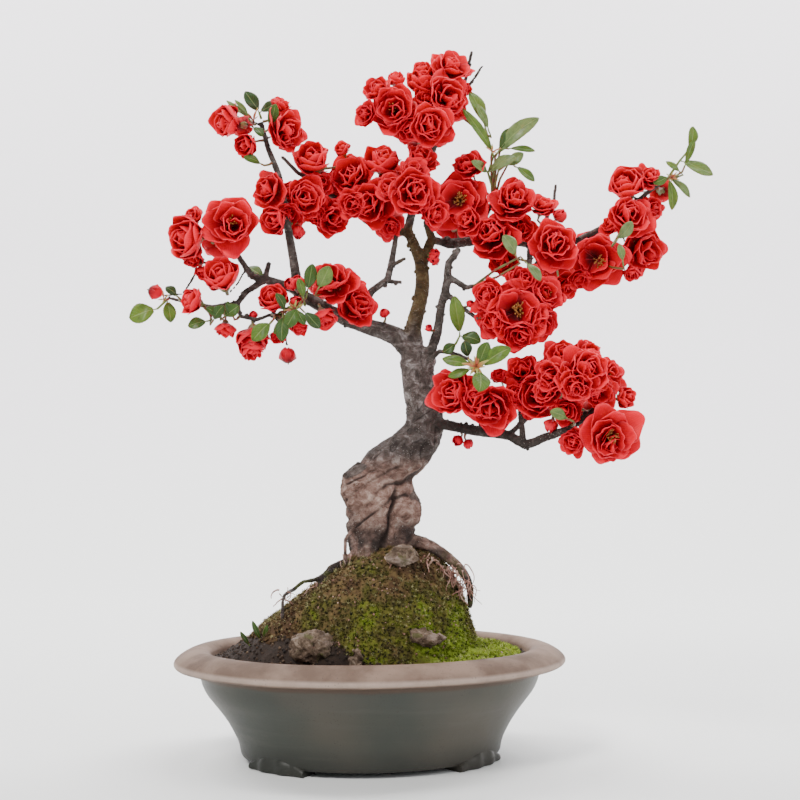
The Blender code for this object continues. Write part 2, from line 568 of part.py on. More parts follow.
def moss_faces(rings, sides):
    """The soil grid's own triangles above and below, so that the carpet lies even on the soil."""
    faces = []
    for ring in range(rings - 1):
        for side in range(sides):
            after = (side + 1) % sides
            a, b = ring * sides + side, ring * sides + after
            c, d = a + sides, b + sides
            faces += [(a, b, d), (a, d, c)]
            low = (2 * rings - 1 - ring) * sides
            e, f = low + side, low + after
            g, h = e - sides, f - sides
            faces += [(e, h, f), (e, g, h)]
    for side in range(sides):
        after = (side + 1) % sides
        outer, inner = (rings - 1) * sides, rings * sides
        faces += [(outer + side, outer + after, inner + after), (outer + side, inner + after, inner + side)]
        faces.append((2 * rings * sides, after, side))
        low = (2 * rings - 1) * sides
        faces.append((2 * rings * sides + 1, low + side, low + after))
    return faces


def build_stones(finish, sockets):
    for name, middle, rise, half, turn in STONES:
        x, y = (value * TREE_SCALE for value in middle)
        place = Vector((x, y, soil_height(x, y) + rise * TREE_SCALE))
        size = [width * TREE_SCALE for width in half]
        pebble(name, place, size, turn, finish)
        helper(pebble(name + "_socket", place, size, turn, finish, GAP), sockets)


# ---- the tree ----

def sides_of(name):
    """More sides on thicker wood."""
    widest = max(point[3] for point in WOOD[name])
    return 12 if widest > 25 else 8 if widest > 8 else 6 if widest > 4 else 5


def build_tree(bark, spurs, sockets):
    """Roots, trunk, limbs, twigs and blossom spurs, joined into one body."""
    tree = tube("tree", wood_path("trunk"), sides_of("trunk"), bark)
    joined = new_group("wood_joined")
    for name in WOOD:
        if name != "trunk":
            helper(tube(f"run_{name}", wood_path(name), sides_of(name), bark), joined)
    for number, (centre, half) in enumerate(BURRS):
        size = [width * WOOD_GIRTH * TREE_SCALE for width in half]
        helper(pebble(f"burr_{number}", lifted(centre), size, 0, bark), joined)
    for number, path in enumerate(spurs):
        helper(tube(f"spur_{number}", path, 3, bark), joined)
    boolean(tree, "UNION", joined)
    for name in ["trunk", *ROOTS]:
        helper(tube(f"socket_{name}", wood_path(name), sides_of(name), bark, GAP), sockets)


# ---- blossoms ----

def wood_balls():
    """Every run of wood as closely set balls: (centre, radius)."""
    balls = []
    for name in WOOD:
        path = wood_path(name)
        for a, b in zip(path, path[1:]):
            start, end = Vector(a[:3]), Vector(b[:3])
            steps = max(1, math.ceil((end - start).length / 3.0))
            for step in range(steps):
                share = step / steps
                balls.append((start.lerp(end, share), (a[3] + (b[3] - a[3]) * share) / 2))
        balls.append((Vector(path[-1][:3]), path[-1][3] / 2))
    return balls


def leaf_balls():
    """Every shoot's stem and leaves as balls."""
    balls = []
    for stem, leaves in SHOOTS.values():
        places = [Vector(lifted(point)) for point in stem]
        for a, b in zip(places, places[1:]):
            balls += [(a.lerp(b, share), STALK_DIAMETER) for share in (0, 0.5, 1)]
        for foot, tip, width in leaves:
            end = Vector(lifted(tip))
            for step in range(7):
                share = step / 6
                half = 0.6 + width / 2 * math.sin(math.pi * min(1, share * 0.95 + 0.04))
                balls.append((places[foot].lerp(end, share), half))
    return balls


# How blossoms settle: rounds, pull towards the drawn place, share of each overlap mended in a round, the
# longest move in one round and how far off wood still counts, in millimetres
SETTLE_ROUNDS = 260
HOME_PULL = 0.02
MEND_SHARE = 0.3
LONGEST_MOVE = 3.0
REACH = 40.0


def push(mover, other, room):
    """How far a blossom moves to stay clear: mostly forward or back, so that the outline stays."""
    apart = mover - other
    away = Vector((apart.x * 0.3, apart.y if abs(apart.y) > 0.5 else 0.5, apart.z * 0.3))
    short = room - apart.length
    return away.normalized() * short if short > 0 else Vector()


def place_blossoms(flowers, wood, leaves):
    """Moves blossoms off the wood and off each other, then gives each one the room it has."""
    homes = [Vector(lifted(place)) for _, place, _, _ in flowers]
    radii = [half * BLOSSOM_SIZE * TREE_SCALE for _, _, half, _ in flowers]
    spots = [home.copy() for home in homes]
    for _ in range(SETTLE_ROUNDS):
        for i, spot in enumerate(spots):
            move = (homes[i] - spot) * HOME_PULL
            move.y *= 0.3
            for j, other in enumerate(spots):
                if j != i:
                    move += push(spot, other, radii[i] + radii[j] + PETAL_GAP) * MEND_SHARE
            for centre, radius in wood + leaves:
                if abs(centre.x - spot.x) < REACH and abs(centre.z - spot.z) < REACH:
                    move += push(spot, centre, radii[i] + radius + PETAL_GAP) * MEND_SHARE
            if move.length > LONGEST_MOVE:
                move = move.normalized() * LONGEST_MOVE
            spots[i] = spot + move
    for _ in range(3):
        for i, spot in enumerate(spots):
            for centre, radius in wood + leaves:
                radii[i] = min(radii[i], (spot - centre).length - radius - PETAL_GAP)
            for j, other in enumerate(spots):
                over = radii[i] + radii[j] + PETAL_GAP - (spot - other).length
                if j != i and over > 0:
                    radii[i] -= over * radii[i] / (radii[i] + radii[j])
    return spots, radii


def way_is_clear(path, spots, radii, own, leaves):
    """True when a spur along this path touches no blossom and no leaf."""
    room = SPUR_DIAMETER / 2 + 0.4
    for a, b in zip(path, path[1:]):
        for step in range(9):
            point = a.lerp(b, step / 8)
            for i, spot in enumerate(spots):
                if i != own and (point - spot).length < radii[i] + room:
                    return False
            if b is not path[-1] and (point - spots[own]).length < radii[own] + SPUR_DIAMETER / 2:
                return False
            if any((point - centre).length < radius + room for centre, radius in leaves):
                return False
    return True


def bowed(start, bend, end, steps=3):
    """A curve from start to end that leaves towards bend and arrives from it."""
    return [start.lerp(bend, step / steps).lerp(bend.lerp(end, step / steps), step / steps)
            for step in range(steps + 1)]


def find_spur(own, facing, spots, radii, wood, leaves):
    """The shortest clear way from the wood to a blossom's foot, and the way the blossom then faces."""
    spot = spots[own]
    nearest = sorted(wood, key=lambda ball: (ball[0] - spot).length)[:140]
    for turn in (0.0, 0.35, 0.6, 0.85, 1.0):
        for centre, _ in nearest:
            from_wood = (spot - centre).normalized()
            face = (facing.normalized() * (1 - turn) + from_wood * turn).normalized()
            foot = spot - face * (radii[own] + GAP)
            if (foot - centre).normalized().dot(face) < -0.2:
                continue
            path = bowed(centre, foot - face * 0.5 * (foot - centre).length, foot)
            if way_is_clear(path, spots, radii, own, leaves):
                return face, path
    return facing.normalized(), None


def build_cup(name, centre, radius, facing, profile, sides, finish):
    """A turned blossom or bud: profile points are (along the axis, out from it), in radii."""
    facing = facing.normalized()
    across = facing.orthogonal().normalized()
    other = facing.cross(across)
    points = []
    for along, out in profile[1:-1]:
        for k in range(sides):
            angle = 2 * math.pi * k / sides
            rim = across * math.cos(angle) + other * math.sin(angle)
            points.append(centre + radius * (facing * along + out * rim))
    points += [centre + facing * radius * profile[0][0], centre + facing * radius * profile[-1][0]]
    return solid(name, points, rings_to_faces(len(profile) - 2, sides), finish)


# Turned sections, in radii: (along the axis, out from it)
BLOSSOM_PROFILE = ((-1.0, 0), (-0.95, 0.2), (-0.72, 0.66), (-0.25, 0.95), (0.22, 0.95), (0.55, 0.68),
                   (0.45, 0))
BUD_PROFILE = ((-1.0, 0), (-0.92, 0.3), (-0.5, 0.62), (0.0, 0.72), (0.5, 0.55), (0.85, 0.2), (0.97, 0))


def build_flowers(petal, wood, leaves):
    """Every blossom and bud, and the spurs that hold them."""
    flowers = BLOSSOMS + BUDS
    spots, radii = place_blossoms(flowers, wood, leaves)
    spurs = []
    for i, (name, _, _, facing) in enumerate(flowers):
        face, path = find_spur(i, Vector(facing), spots, radii, wood, leaves)
        if path:
            spurs.append([(*point, SPUR_DIAMETER * TREE_SCALE) for point in path])
        shape, kind = (BLOSSOM_PROFILE, "blossom") if i < len(BLOSSOMS) else (BUD_PROFILE, "bud")
        build_cup(f"{kind}_{name}", spots[i], radii[i], face, shape, 6, petal)
    return spurs


# ---- leafy shoots ----

def leaf_blade(name, foot, tip, width, finish):
    """A leaf with a short stalk: thin, widest past its middle, slightly cupped."""
    along = tip - foot
    length = along.length
    along.normalize()
    across = along.cross(Vector((0.25, -1, 0.3))).normalized()
    up = across.cross(along)
    sections = ((0.0, 0.07), (0.2, 0.12), (0.5, 0.9), (0.72, 1.0), (0.92, 0.55))
    points = []
    for share, spread in sections:
        middle = foot + along * (length * share) + up * (0.07 * length * math.sin(math.pi * share))
        half = max(width / 2 * spread, STALK_DIAMETER / 2)
        thick = max(LEAF_THICKNESS / 2, STALK_DIAMETER / 2 * (1 - share * 3))
        points += [middle + across * half, middle + up * thick, middle - across * half, middle - up * thick]
    points += [foot - along * 0.4, foot + along * length]
    return solid(name, points, rings_to_faces(len(sections), 4), finish)


def build_shoots(finish, wood):
    for name, (stem, leaves) in SHOOTS.items():
        places = [Vector(lifted(point)) for point in stem]
        near, radius = min(wood, key=lambda ball: (ball[0] - places[0]).length)
        clear = radius + STALK_DIAMETER / 2 + 2 * GAP
        if (places[0] - near).length < clear:
            places[0] = near + (places[0] - near).normalized() * clear
        shoot = tube(f"shoot_{name}", [(*place, STALK_DIAMETER) for place in places], 6, finish)
        blades = new_group(f"blades_{name}")
        for number, (foot, tip, width) in enumerate(leaves):
            blade = leaf_blade(f"blade_{name}_{number}", places[foot], Vector(lifted(tip)), width, finish)
            helper(blade, blades)
        boolean(shoot, "UNION", blades)


# ---- the whole ----

def centre_on_box():
    """Moves everything so that the origin is under the middle of the outer box."""
    bpy.context.view_layer.update()
    graph = bpy.context.evaluated_depsgraph_get()
    shown = [made for made in bpy.context.scene.objects if not made.hide_render]
    corners = []
    for made in shown:
        evaluated = made.evaluated_get(graph)
        mesh = evaluated.to_mesh()
        corners += [(vert.co.x, vert.co.y, vert.co.z) for vert in mesh.vertices]
        evaluated.to_mesh_clear()
    middle = [(min(corner[axis] for corner in corners) + max(corner[axis] for corner in corners)) / 2
              for axis in (0, 1)]
    place = bpy.data.objects.new("model_place", None)
    bpy.context.scene.collection.objects.link(place)
    place.location = (-middle[0], -middle[1], 0)
    for made in list(bpy.data.objects):
        if made is not place:
            made.parent = place


def main():
    for made in list(bpy.data.objects):
        bpy.data.objects.remove(made)
    stoneware = material("stoneware", (0.16, 0.15, 0.14), 0.45)
    mesh_plastic = material("screen_plastic", (0.02, 0.02, 0.02), 0.5)
    wire = material("clip_wire", (0.6, 0.6, 0.6), 0.35, 1.0)
    soil = material("soil", (0.11, 0.07, 0.05), 0.95)
    moss = material("moss", (0.13, 0.2, 0.04), 0.95)
    stone = material("stone", (0.35, 0.3, 0.28), 0.8)
    bark = material("bark", (0.2, 0.15, 0.12), 0.85)
    petal = material("petal", (0.8, 0.03, 0.03), 0.5)
    leaf = material("leaf", (0.15, 0.32, 0.07), 0.5)
    build_pot(stoneware)
    build_drainage(mesh_plastic, wire)
    sockets = new_group("sockets")
    build_stones(stone, sockets)
    wood, leaves = wood_balls(), leaf_balls()
    spurs = build_flowers(petal, wood, leaves)
    build_tree(bark, spurs, sockets)
    for side in (-1, 1):
        x, y, _ = turned((side * DRAIN_SPACING / 2, 0, 0), POT_TURN)
        top = FOOT_HEIGHT + FLOOR + SCREEN_THICKNESS + CLIP_WIRE + 4 * GAP
        room = SCREEN_DIAMETER / 2 + GAP
        helper(cylinder(f"screen_socket_{side}", (x, y), room, FOOT_HEIGHT, top, 16, soil), sockets)
    build_ground(soil, moss, sockets)
    build_shoots(leaf, wood)
    centre_on_box()


main()
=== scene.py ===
"""Looks of the flowering quince bonsai: bark, petals, leaves, moss, soil, stones and the stoneware pot.

Places are in millimetres from the middle of the pot's foot (x to the right, y away from the front, z up)
and become metres in the frame's own axes where a mesh is made.
"""
import json
import math
import random

import bmesh
import bpy
import numpy as np
from mathutils import Matrix, Vector, noise
from mathutils.bvhtree import BVHTree

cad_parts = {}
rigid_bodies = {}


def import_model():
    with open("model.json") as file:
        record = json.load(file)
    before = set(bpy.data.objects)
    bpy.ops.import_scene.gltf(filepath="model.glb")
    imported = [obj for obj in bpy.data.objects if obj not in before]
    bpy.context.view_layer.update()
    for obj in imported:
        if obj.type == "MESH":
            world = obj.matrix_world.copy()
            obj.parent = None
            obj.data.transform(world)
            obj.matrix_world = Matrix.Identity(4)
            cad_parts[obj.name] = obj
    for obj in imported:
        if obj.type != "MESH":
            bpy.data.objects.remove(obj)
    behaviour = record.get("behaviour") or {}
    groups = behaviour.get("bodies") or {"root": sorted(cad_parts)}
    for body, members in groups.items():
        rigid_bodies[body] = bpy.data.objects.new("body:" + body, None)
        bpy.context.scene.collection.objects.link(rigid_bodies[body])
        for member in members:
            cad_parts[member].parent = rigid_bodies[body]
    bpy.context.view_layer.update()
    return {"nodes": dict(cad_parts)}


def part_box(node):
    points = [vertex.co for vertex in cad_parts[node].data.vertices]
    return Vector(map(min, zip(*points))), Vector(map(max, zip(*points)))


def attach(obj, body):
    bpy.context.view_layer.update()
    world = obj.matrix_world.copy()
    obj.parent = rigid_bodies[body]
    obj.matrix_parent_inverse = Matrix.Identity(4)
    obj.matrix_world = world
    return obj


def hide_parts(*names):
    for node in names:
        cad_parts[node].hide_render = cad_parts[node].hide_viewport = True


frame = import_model()

BODY = "root"
MM = 0.001
PETAL_MAP = "petal_map"

# The pot
POT_LENGTH, POT_WIDTH, POT_HEIGHT = 220.0, 165.0, 62.0
LIP_WIDTH, LIP_DROP, LIP_SHOULDER = 21.0, 8.0, 11.5
BASE_LENGTH, BASE_WIDTH = 144.0, 108.0
FLOOR, FOOT_HEIGHT = 6.0, 3.0
POT_TURN = 8.5
POT_SIDES = 120
FOOT_MIDDLES = (38, 142, 218, 322)
DRAIN_APART, DRAIN_RADIUS, DRAIN_SIDES = 64.0, 7.0, 32
SOIL_LEVEL = 57.0

# The mound of soil
MOUND_HEIGHT, MOUND_OFFSET = 60.0, 14.0
MOUND_LEFT, MOUND_RIGHT = 98.0, 46.0
MOSS_THICKNESS = 3.0

# The wood
BARK_VOXEL = 0.78
DEEPEST_WOOD = 45.0

# The camera, in millimetres from the pot's foot
CAMERA_PLACE, CAMERA_PITCH, CAMERA_LENS = (16.0, -815.8, 184.4), 91.09, 65.15
LIGHTS_AIM = (0, 0, 200)

pot_low, pot_high = (Vector(corner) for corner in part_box("pot"))
POT_MIDDLE = Vector(((pot_low.x + pot_high.x) / 2, (pot_low.y + pot_high.y) / 2, pot_low.z))


def at(x, y, z):
    """A place given in millimetres from the pot's foot, in the frame."""
    return POT_MIDDLE + Vector((x, y, z)) * MM


def turned(x, y, degrees=POT_TURN):
    angle = math.radians(degrees)
    return x * math.cos(angle) - y * math.sin(angle), x * math.sin(angle) + y * math.cos(angle)


def smoothstep(low, high, value):
    share = min(1.0, max(0.0, (value - low) / (high - low)))
    return share * share * (3 - 2 * share)


def around(out, side, up, turn):
    """A place given along and across a direction that is turned about Z."""
    x = out * math.cos(turn) - side * math.sin(turn)
    y = out * math.sin(turn) + side * math.cos(turn)
    return Vector((x, y, up))


# ---- shader building ----

class Num:
    """A value on a socket, so that shader maths reads as an expression."""

    def __init__(self, paint, socket):
        self.paint, self.socket = paint, socket

    def _maths(self, operation, a, b, clamp=False):
        return self.paint.node("ShaderNodeMath", {0: a, 1: b}, operation=operation, use_clamp=clamp)

    def __add__(self, other):
        return self._maths("ADD", self, other)

    def __sub__(self, other):
        return self._maths("SUBTRACT", self, other)

    def __mul__(self, other):
        return self._maths("MULTIPLY", self, other)

    __radd__ = __add__
    __rmul__ = __mul__

    def clamped(self):
        return self._maths("ADD", self, 0.0, clamp=True)

    def between(self, low, high):
        """0 below low, 1 above high, smooth in between; low may be above high."""
        return self.paint.node("ShaderNodeMapRange", {"Value": self, "From Min": low, "From Max": high},
                               interpolation_type="SMOOTHSTEP")


class Paint:
    """One procedural material on a Principled shader."""

    def __init__(self, name, roughness=0.5, metallic=0.0, **constants):
        self.material = bpy.data.materials.new(name)
        self.material.use_nodes = True
        self.tree = self.material.node_tree
        self.shader = self.tree.nodes["Principled BSDF"]
        self.shader.inputs["Roughness"].default_value = roughness
        self.shader.inputs["Metallic"].default_value = metallic
        for socket, value in constants.items():
            self.shader.inputs[socket.replace("_", " ")].default_value = value
        self.place = self.node("ShaderNodeTexCoord", out="Object")

    def node(self, kind, inputs=None, out=0, stops=None, **settings):
        """Any node: its settings first, then its sockets' values or links."""
        made = self.tree.nodes.new(kind)
        for setting, value in settings.items():
            setattr(made, setting, value)
        if stops:
            ramp = made.color_ramp
            while len(ramp.elements) < len(stops):
                ramp.elements.new(0.5)
            for element, (position, colour) in zip(ramp.elements, stops):
                element.position = position
                element.color = (*colour, 1.0)
        for key, value in (inputs or {}).items():
            socket = made.inputs[key]
            if isinstance(value, Num):
                self.tree.links.new(value.socket, socket)
            elif isinstance(value, tuple) and len(value) == 3 and socket.type == "RGBA":
                socket.default_value = (*value, 1.0)
            else:
                socket.default_value = value
        return Num(self, made.outputs[out])

    def noise(self, size_mm, detail=3.0, roughness=0.55, distortion=0.0, place=None):
        return self.node("ShaderNodeTexNoise", {"Vector": place or self.place, "Scale": 1000.0 / size_mm,
                                                "Detail": detail, "Roughness": roughness,
                                                "Distortion": distortion})

    def cells(self, size_mm, feature="F1", place=None, out=0):
        return self.node("ShaderNodeTexVoronoi", {"Vector": place or self.place, "Scale": 1000.0 / size_mm},
                         feature=feature, out=out)

    def ramp(self, value, *stops):
        return self.node("ShaderNodeValToRGB", {"Fac": value}, stops=stops)

    def mix(self, a, b, share, blend="MIX"):
        return self.node("ShaderNodeMix", {0: share, 6: a, 7: b}, out=2, data_type="RGBA", blend_type=blend)

    def heights(self):
        """Object height in millimetres."""
        return self.node("ShaderNodeSeparateXYZ", {0: self.place}, out="Z") * 1000.0

    def stretched(self, scale):
        return self.node("ShaderNodeMapping", {"Vector": self.place, "Scale": scale})

    def attribute(self, name, out="Fac"):
        return self.node("ShaderNodeAttribute", attribute_name=name, out=out)

    def petal_map(self):
        """The piece's map, with its parts across and along the petal or leaf."""
        spot = self.node("ShaderNodeUVMap", uv_map=PETAL_MAP)
        return spot, *(self.node("ShaderNodeSeparateXYZ", {0: spot}, out=part) for part in ("X", "Y"))

    def finish(self, colour=None, roughness=None, relief=None, depth_mm=0.3, strength=1.0):
        for socket, value in (("Base Color", colour), ("Roughness", roughness)):
            if value is not None:
                self.tree.links.new(value.socket, self.shader.inputs[socket])
        if relief is not None:
            bump = self.node("ShaderNodeBump", {"Height": relief, "Distance": depth_mm * MM,
                                                "Strength": strength})
            self.tree.links.new(bump.socket, self.shader.inputs["Normal"])
        return self.material


# ---- materials ----

def stoneware_paint():
    """Satin grey-green body, darker towards the bottom, brown neck and a dry taupe lip whose outer edge is
    painted paler, partly wear and partly a painted highlight.
    """
    paint = Paint("stoneware", Specular_IOR_Level=0.22)
    height = paint.heights()
    wander = paint.noise(26, 3) - 0.5
    clay = paint.mix((0.046, 0.05, 0.042), (0.072, 0.065, 0.052), paint.noise(70, 2).between(0.35, 0.68))
    brushed = paint.noise(9, 4, place=paint.stretched((0.12, 0.12, 1.6)))
    clay = paint.mix(clay, (0.085, 0.082, 0.07), brushed.between(0.5, 0.85) * 0.4)
    # darker towards the bottom
    clay = paint.mix(clay, (0.014, 0.014, 0.012), (height + wander * 6).between(20, 2) * 0.6)
    neck = (height + wander * 2).between(46.5, 48.5)
    clay = paint.mix(clay, (0.07, 0.044, 0.031), neck * 0.9)
    lip = paint.mix((0.105, 0.067, 0.048), (0.2, 0.137, 0.103), paint.noise(18, 4).between(0.3, 0.7))
    lip = paint.mix(lip, (0.07, 0.046, 0.036), paint.noise(3.2, 3).between(0.6, 0.78) * 0.5)
    on_lip = (height + wander).between(51.6, 52.4)
    # painted highlight and wear: the lip's outer edge, from about 52 to 57 mm up, is painted paler
    edge = height.between(52.0, 53.6) * height.between(56.6, 54.6)
    lip = paint.mix(lip, (0.42, 0.33, 0.275), edge * (0.35 + 0.5 * paint.noise(7, 3)))
    speck = paint.cells(1.5).between(0.24, 0.1) * paint.noise(14, 2).between(0.45, 0.6)
    colour = paint.mix(paint.mix(clay, lip, on_lip), (0.035, 0.028, 0.024), speck * 0.55)
    grain = paint.noise(0.9, 4)
    rough = 0.42 + on_lip * 0.22 + (grain - 0.5) * 0.18 + neck * 0.08
    relief = grain * 0.35 + paint.noise(5, 3) * 0.5 + brushed * 0.3
    return paint.finish(colour, rough, relief, depth_mm=0.35, strength=0.55)


def bark_paint():
    """Dark grey bark with pale specks, a warm swollen base, dark thin twigs and a greener inner limb; painted
    shade darkens the lower trunk in patches, and its cracks are darkened, partly their own colour and partly
    painted shade.
    """
    paint = Paint("bark", Specular_IOR_Level=0.25)
    warm, green = paint.attribute("warm"), paint.attribute("green")
    crack, thin = paint.attribute("crack"), paint.attribute("thin")
    height = paint.heights()
    plates = paint.noise(6, 6, 0.68, 0.5, place=paint.stretched((1.0, 1.0, 1.3)))
    colour = paint.ramp(plates, (0.32, (0.022, 0.017, 0.015)), (0.46, (0.07, 0.052, 0.045)),
                        (0.57, (0.15, 0.125, 0.117)), (0.72, (0.4, 0.36, 0.34)))
    rosy = paint.ramp(plates, (0.28, (0.035, 0.018, 0.013)), (0.42, (0.13, 0.072, 0.055)),
                      (0.55, (0.25, 0.155, 0.125)), (0.72, (0.46, 0.35, 0.29)))
    olive = paint.ramp(plates, (0.3, (0.018, 0.01, 0.004)), (0.5, (0.058, 0.034, 0.012)),
                       (0.7, (0.125, 0.09, 0.04)))
    twig = paint.ramp(plates, (0.3, (0.014, 0.011, 0.009)), (0.52, (0.052, 0.042, 0.036)),
                      (0.72, (0.15, 0.128, 0.115)))
    colour = paint.mix(colour, rosy, warm)
    colour = paint.mix(colour, twig, thin * 0.85)
    colour = paint.mix(colour, olive, green)
    # painted shade: the trunk is darkened in patches in a band about 150 to 210 mm up and below about 140 mm
    shaded = height.between(214, 182) * height.between(146, 174) + height.between(144, 122) * 1.3
    shaded = (shaded * 0.75 * paint.noise(16, 3).between(0.3, 0.6)).clamped()
    colour = paint.mix(colour, (0.02, 0.014, 0.012), shaded)
    speck = paint.cells(1.0).between(0.26, 0.1) * paint.noise(8, 3).between(0.48, 0.6)
    colour = paint.mix(colour, (0.44, 0.4, 0.36), speck * 0.6)
    # cracks and folds darkened: partly the bark's own dark fissures, partly painted shade in the creases
    colour = paint.mix(colour, (0.01, 0.006, 0.005), crack.between(0.1, 0.95) * 0.85)
    mossy = height.between(122, 100) * paint.noise(7, 4).between(0.52, 0.62)
    colour = paint.mix(colour, (0.06, 0.07, 0.015), mossy * 0.6)
    fine = paint.noise(1.0, 5, 0.65)
    relief = plates * 0.9 + fine * 0.6 + paint.cells(2.2, "DISTANCE_TO_EDGE").between(0.0, 0.16) * 0.25
    return paint.finish(colour, 0.72 + fine * 0.25, relief, depth_mm=0.9, strength=0.85)


def root_paint():
    """Fine dry roots, paler and pinker than the bark."""
    paint = Paint("fine_root", 0.8)
    colour = paint.ramp(paint.noise(4, 4), (0.3, (0.1, 0.035, 0.025)), (0.5, (0.28, 0.14, 0.105)),
                        (0.7, (0.5, 0.35, 0.28)))
    return paint.finish(colour, relief=paint.noise(0.8, 3), depth_mm=0.2, strength=0.6)


def petal_paint():
    """Silky red petals: deep at the foot, brighter to the rim, with faint veins along them; pinker patches on
    their outer part are partly their own colour and partly painted highlight, and their rims and tips carry a
    painted highlight.
    """
    paint = Paint("petal", 0.46, Sheen_Weight=0.03, Sheen_Roughness=0.4, Specular_IOR_Level=0.16,
                  Subsurface_Weight=0.15, Subsurface_Scale=0.0015)
    paint.shader.inputs["Sheen Tint"].default_value = (1.0, 0.3, 0.3, 1.0)
    paint.shader.inputs["Subsurface Radius"].default_value = (1.0, 0.1, 0.08)
    spot, across, along = paint.petal_map()
    shade = paint.attribute("shade")
    tone = (along + (paint.noise(6, 3) - 0.5) * 0.35 + (shade - 0.5) * 0.3).clamped()
    colour = paint.ramp(tone, (0.06, (0.06, 0.0006, 0.003)), (0.3, (0.27, 0.0008, 0.006)),
                        (0.6, (0.54, 0.001, 0.011)), (0.97, (0.86, 0.003, 0.028)))
    veins = paint.node("ShaderNodeTexWave", {"Vector": spot, "Scale": 5.5, "Distortion": 2.2, "Detail": 2.0,
                                             "Detail Scale": 1.4}, wave_type="BANDS", bands_direction="X")
    colour = paint.mix(colour, (0.3, 0.001, 0.01), veins.between(0.55, 1.0) * 0.16)
    # partly the petals' own pinker colour and partly painted highlight: pinker patches on the outer part of
    # each petal
    blush_and_highlight = paint.noise(11, 2).between(0.56, 0.76) * along.between(0.35, 0.9)
    colour = paint.mix(colour, (0.9, 0.02, 0.055), blush_and_highlight * 0.35)
    # painted highlight: each petal's side rims and tip are painted paler and pinker
    rim_highlight = across.between(0.93, 1.0) + across.between(0.07, 0.0) + along.between(0.95, 1.0)
    colour = paint.mix(colour, (0.92, 0.06, 0.1), rim_highlight.clamped() * 0.25)
    rough = 0.4 + paint.noise(3, 2) * 0.18
    return paint.finish(colour, rough, veins * 0.5 + paint.noise(2.4, 3) * 0.6, depth_mm=0.12, strength=0.7)


def stamen_paint():
    paint = Paint("stamen", 0.55)
    shade = paint.attribute("shade")
    colour = paint.ramp(shade, (0.0, (0.26, 0.1, 0.02)), (0.5, (0.4, 0.18, 0.03)), (1.0, (0.42, 0.12, 0.04)))
    return paint.finish(colour, relief=paint.noise(0.5, 2), depth_mm=0.05)


def calyx_paint():
    """Olive sepals and stalks, flushed dark red where the light reaches."""
    paint = Paint("calyx", 0.5)
    flush = paint.noise(3.5, 3).between(0.38, 0.66)
    colour = paint.mix((0.105, 0.13, 0.03), (0.2, 0.022, 0.016), flush)
    return paint.finish(colour, relief=paint.noise(1.2, 3), depth_mm=0.1)


def bract_paint():
    """Bracts from orange-red at their foot to yellow-green."""
    paint = Paint("bract", 0.45)
    along = paint.petal_map()[2]
    tone = (along * 0.6 + paint.attribute("shade") * 0.6).clamped()
    colour = paint.ramp(tone, (0.05, (0.3, 0.03, 0.02)), (0.5, (0.42, 0.13, 0.04)), (0.9, (0.3, 0.32, 0.07)))
    return paint.finish(colour, relief=paint.noise(1.0, 2), depth_mm=0.08)


def leaf_paint():
    """Glossy leaves with a pale midrib and side veins; each leaf has its own green."""
    paint = Paint("leaf", 0.42, Specular_IOR_Level=0.3, Subsurface_Weight=0.1, Subsurface_Scale=0.001)
    _, across, along = paint.petal_map()
    side = paint.node("ShaderNodeMath", {0: across - 0.5}, operation="ABSOLUTE") * 2.0
    shade = paint.attribute("shade")
    colour = paint.ramp(shade, (0.0, (0.012, 0.03, 0.008)), (0.4, (0.04, 0.09, 0.012)),
                        (0.75, (0.105, 0.18, 0.02)), (1.0, (0.15, 0.21, 0.075)))
    colour = paint.mix(colour, (0.02, 0.05, 0.008), paint.noise(4, 3).between(0.42, 0.68) * 0.45)
    rib = side.between(0.09, 0.02)
    ribs = paint.node("ShaderNodeMath", {0: (along * 7.0) - (side * 2.4)}, operation="FRACT")
    side_vein = ribs.between(0.12, 0.02) * side.between(1.0, 0.8)
    colour = paint.mix(colour, (0.24, 0.3, 0.09), (rib * 0.55 + side_vein * 0.16).clamped())
    colour = paint.mix(colour, (0.3, 0.1, 0.03), side.between(0.93, 1.0) * 0.35)
    relief = side_vein * -0.8 - rib + paint.noise(1.5, 2) * 0.3
    return paint.finish(colour, 0.32 + paint.noise(5, 2) * 0.16, relief, depth_mm=0.18, strength=0.8)


def moss_paint():
    """Moss mottled in bright green, deep green and dry brown."""
    paint = Paint("moss", 0.92, Specular_IOR_Level=0.2)
    damp, shade = paint.attribute("damp"), paint.attribute("shade")
    spots = (paint.noise(5, 4, 0.6) - 0.5) * 0.95 + (paint.noise(16, 2) - 0.5) * 0.5
    patch = (damp + spots + (shade - 0.5) * 0.22).clamped()
    colour = paint.ramp(patch, (0.08, (0.06, 0.032, 0.015)), (0.24, (0.13, 0.085, 0.033)),
                        (0.38, (0.055, 0.046, 0.012)), (0.52, (0.11, 0.1, 0.018)),
                        (0.7, (0.12, 0.155, 0.011)), (0.92, (0.2, 0.27, 0.022)))
    # painted shade: tufts with a low shade value are darkened almost to black, standing for shade deep in the
    # moss
    colour = paint.mix(colour, (0.008, 0.011, 0.004), shade.between(0.42, 0.05) * 0.8)
    colour = paint.mix(colour, (0.5, 0.46, 0.24), shade.between(0.8, 1.0) * 0.5)
    return paint.finish(colour, relief=paint.noise(1.2, 4), depth_mm=0.5, strength=0.8)


def soil_paint():
    """Dark brown crumbly soil with paler dry grains."""
    paint = Paint("soil", 0.95)
    shade = paint.attribute("shade")
    tone = (paint.noise(3.2, 5, 0.65) * 0.7 + shade * 0.5 - 0.1).clamped()
    colour = paint.ramp(tone, (0.22, (0.007, 0.0035, 0.002)), (0.48, (0.02, 0.01, 0.005)),
                        (0.7, (0.05, 0.027, 0.014)), (0.94, (0.24, 0.16, 0.1)))
    return paint.finish(colour, relief=paint.noise(1.0, 5, 0.7), depth_mm=0.7)


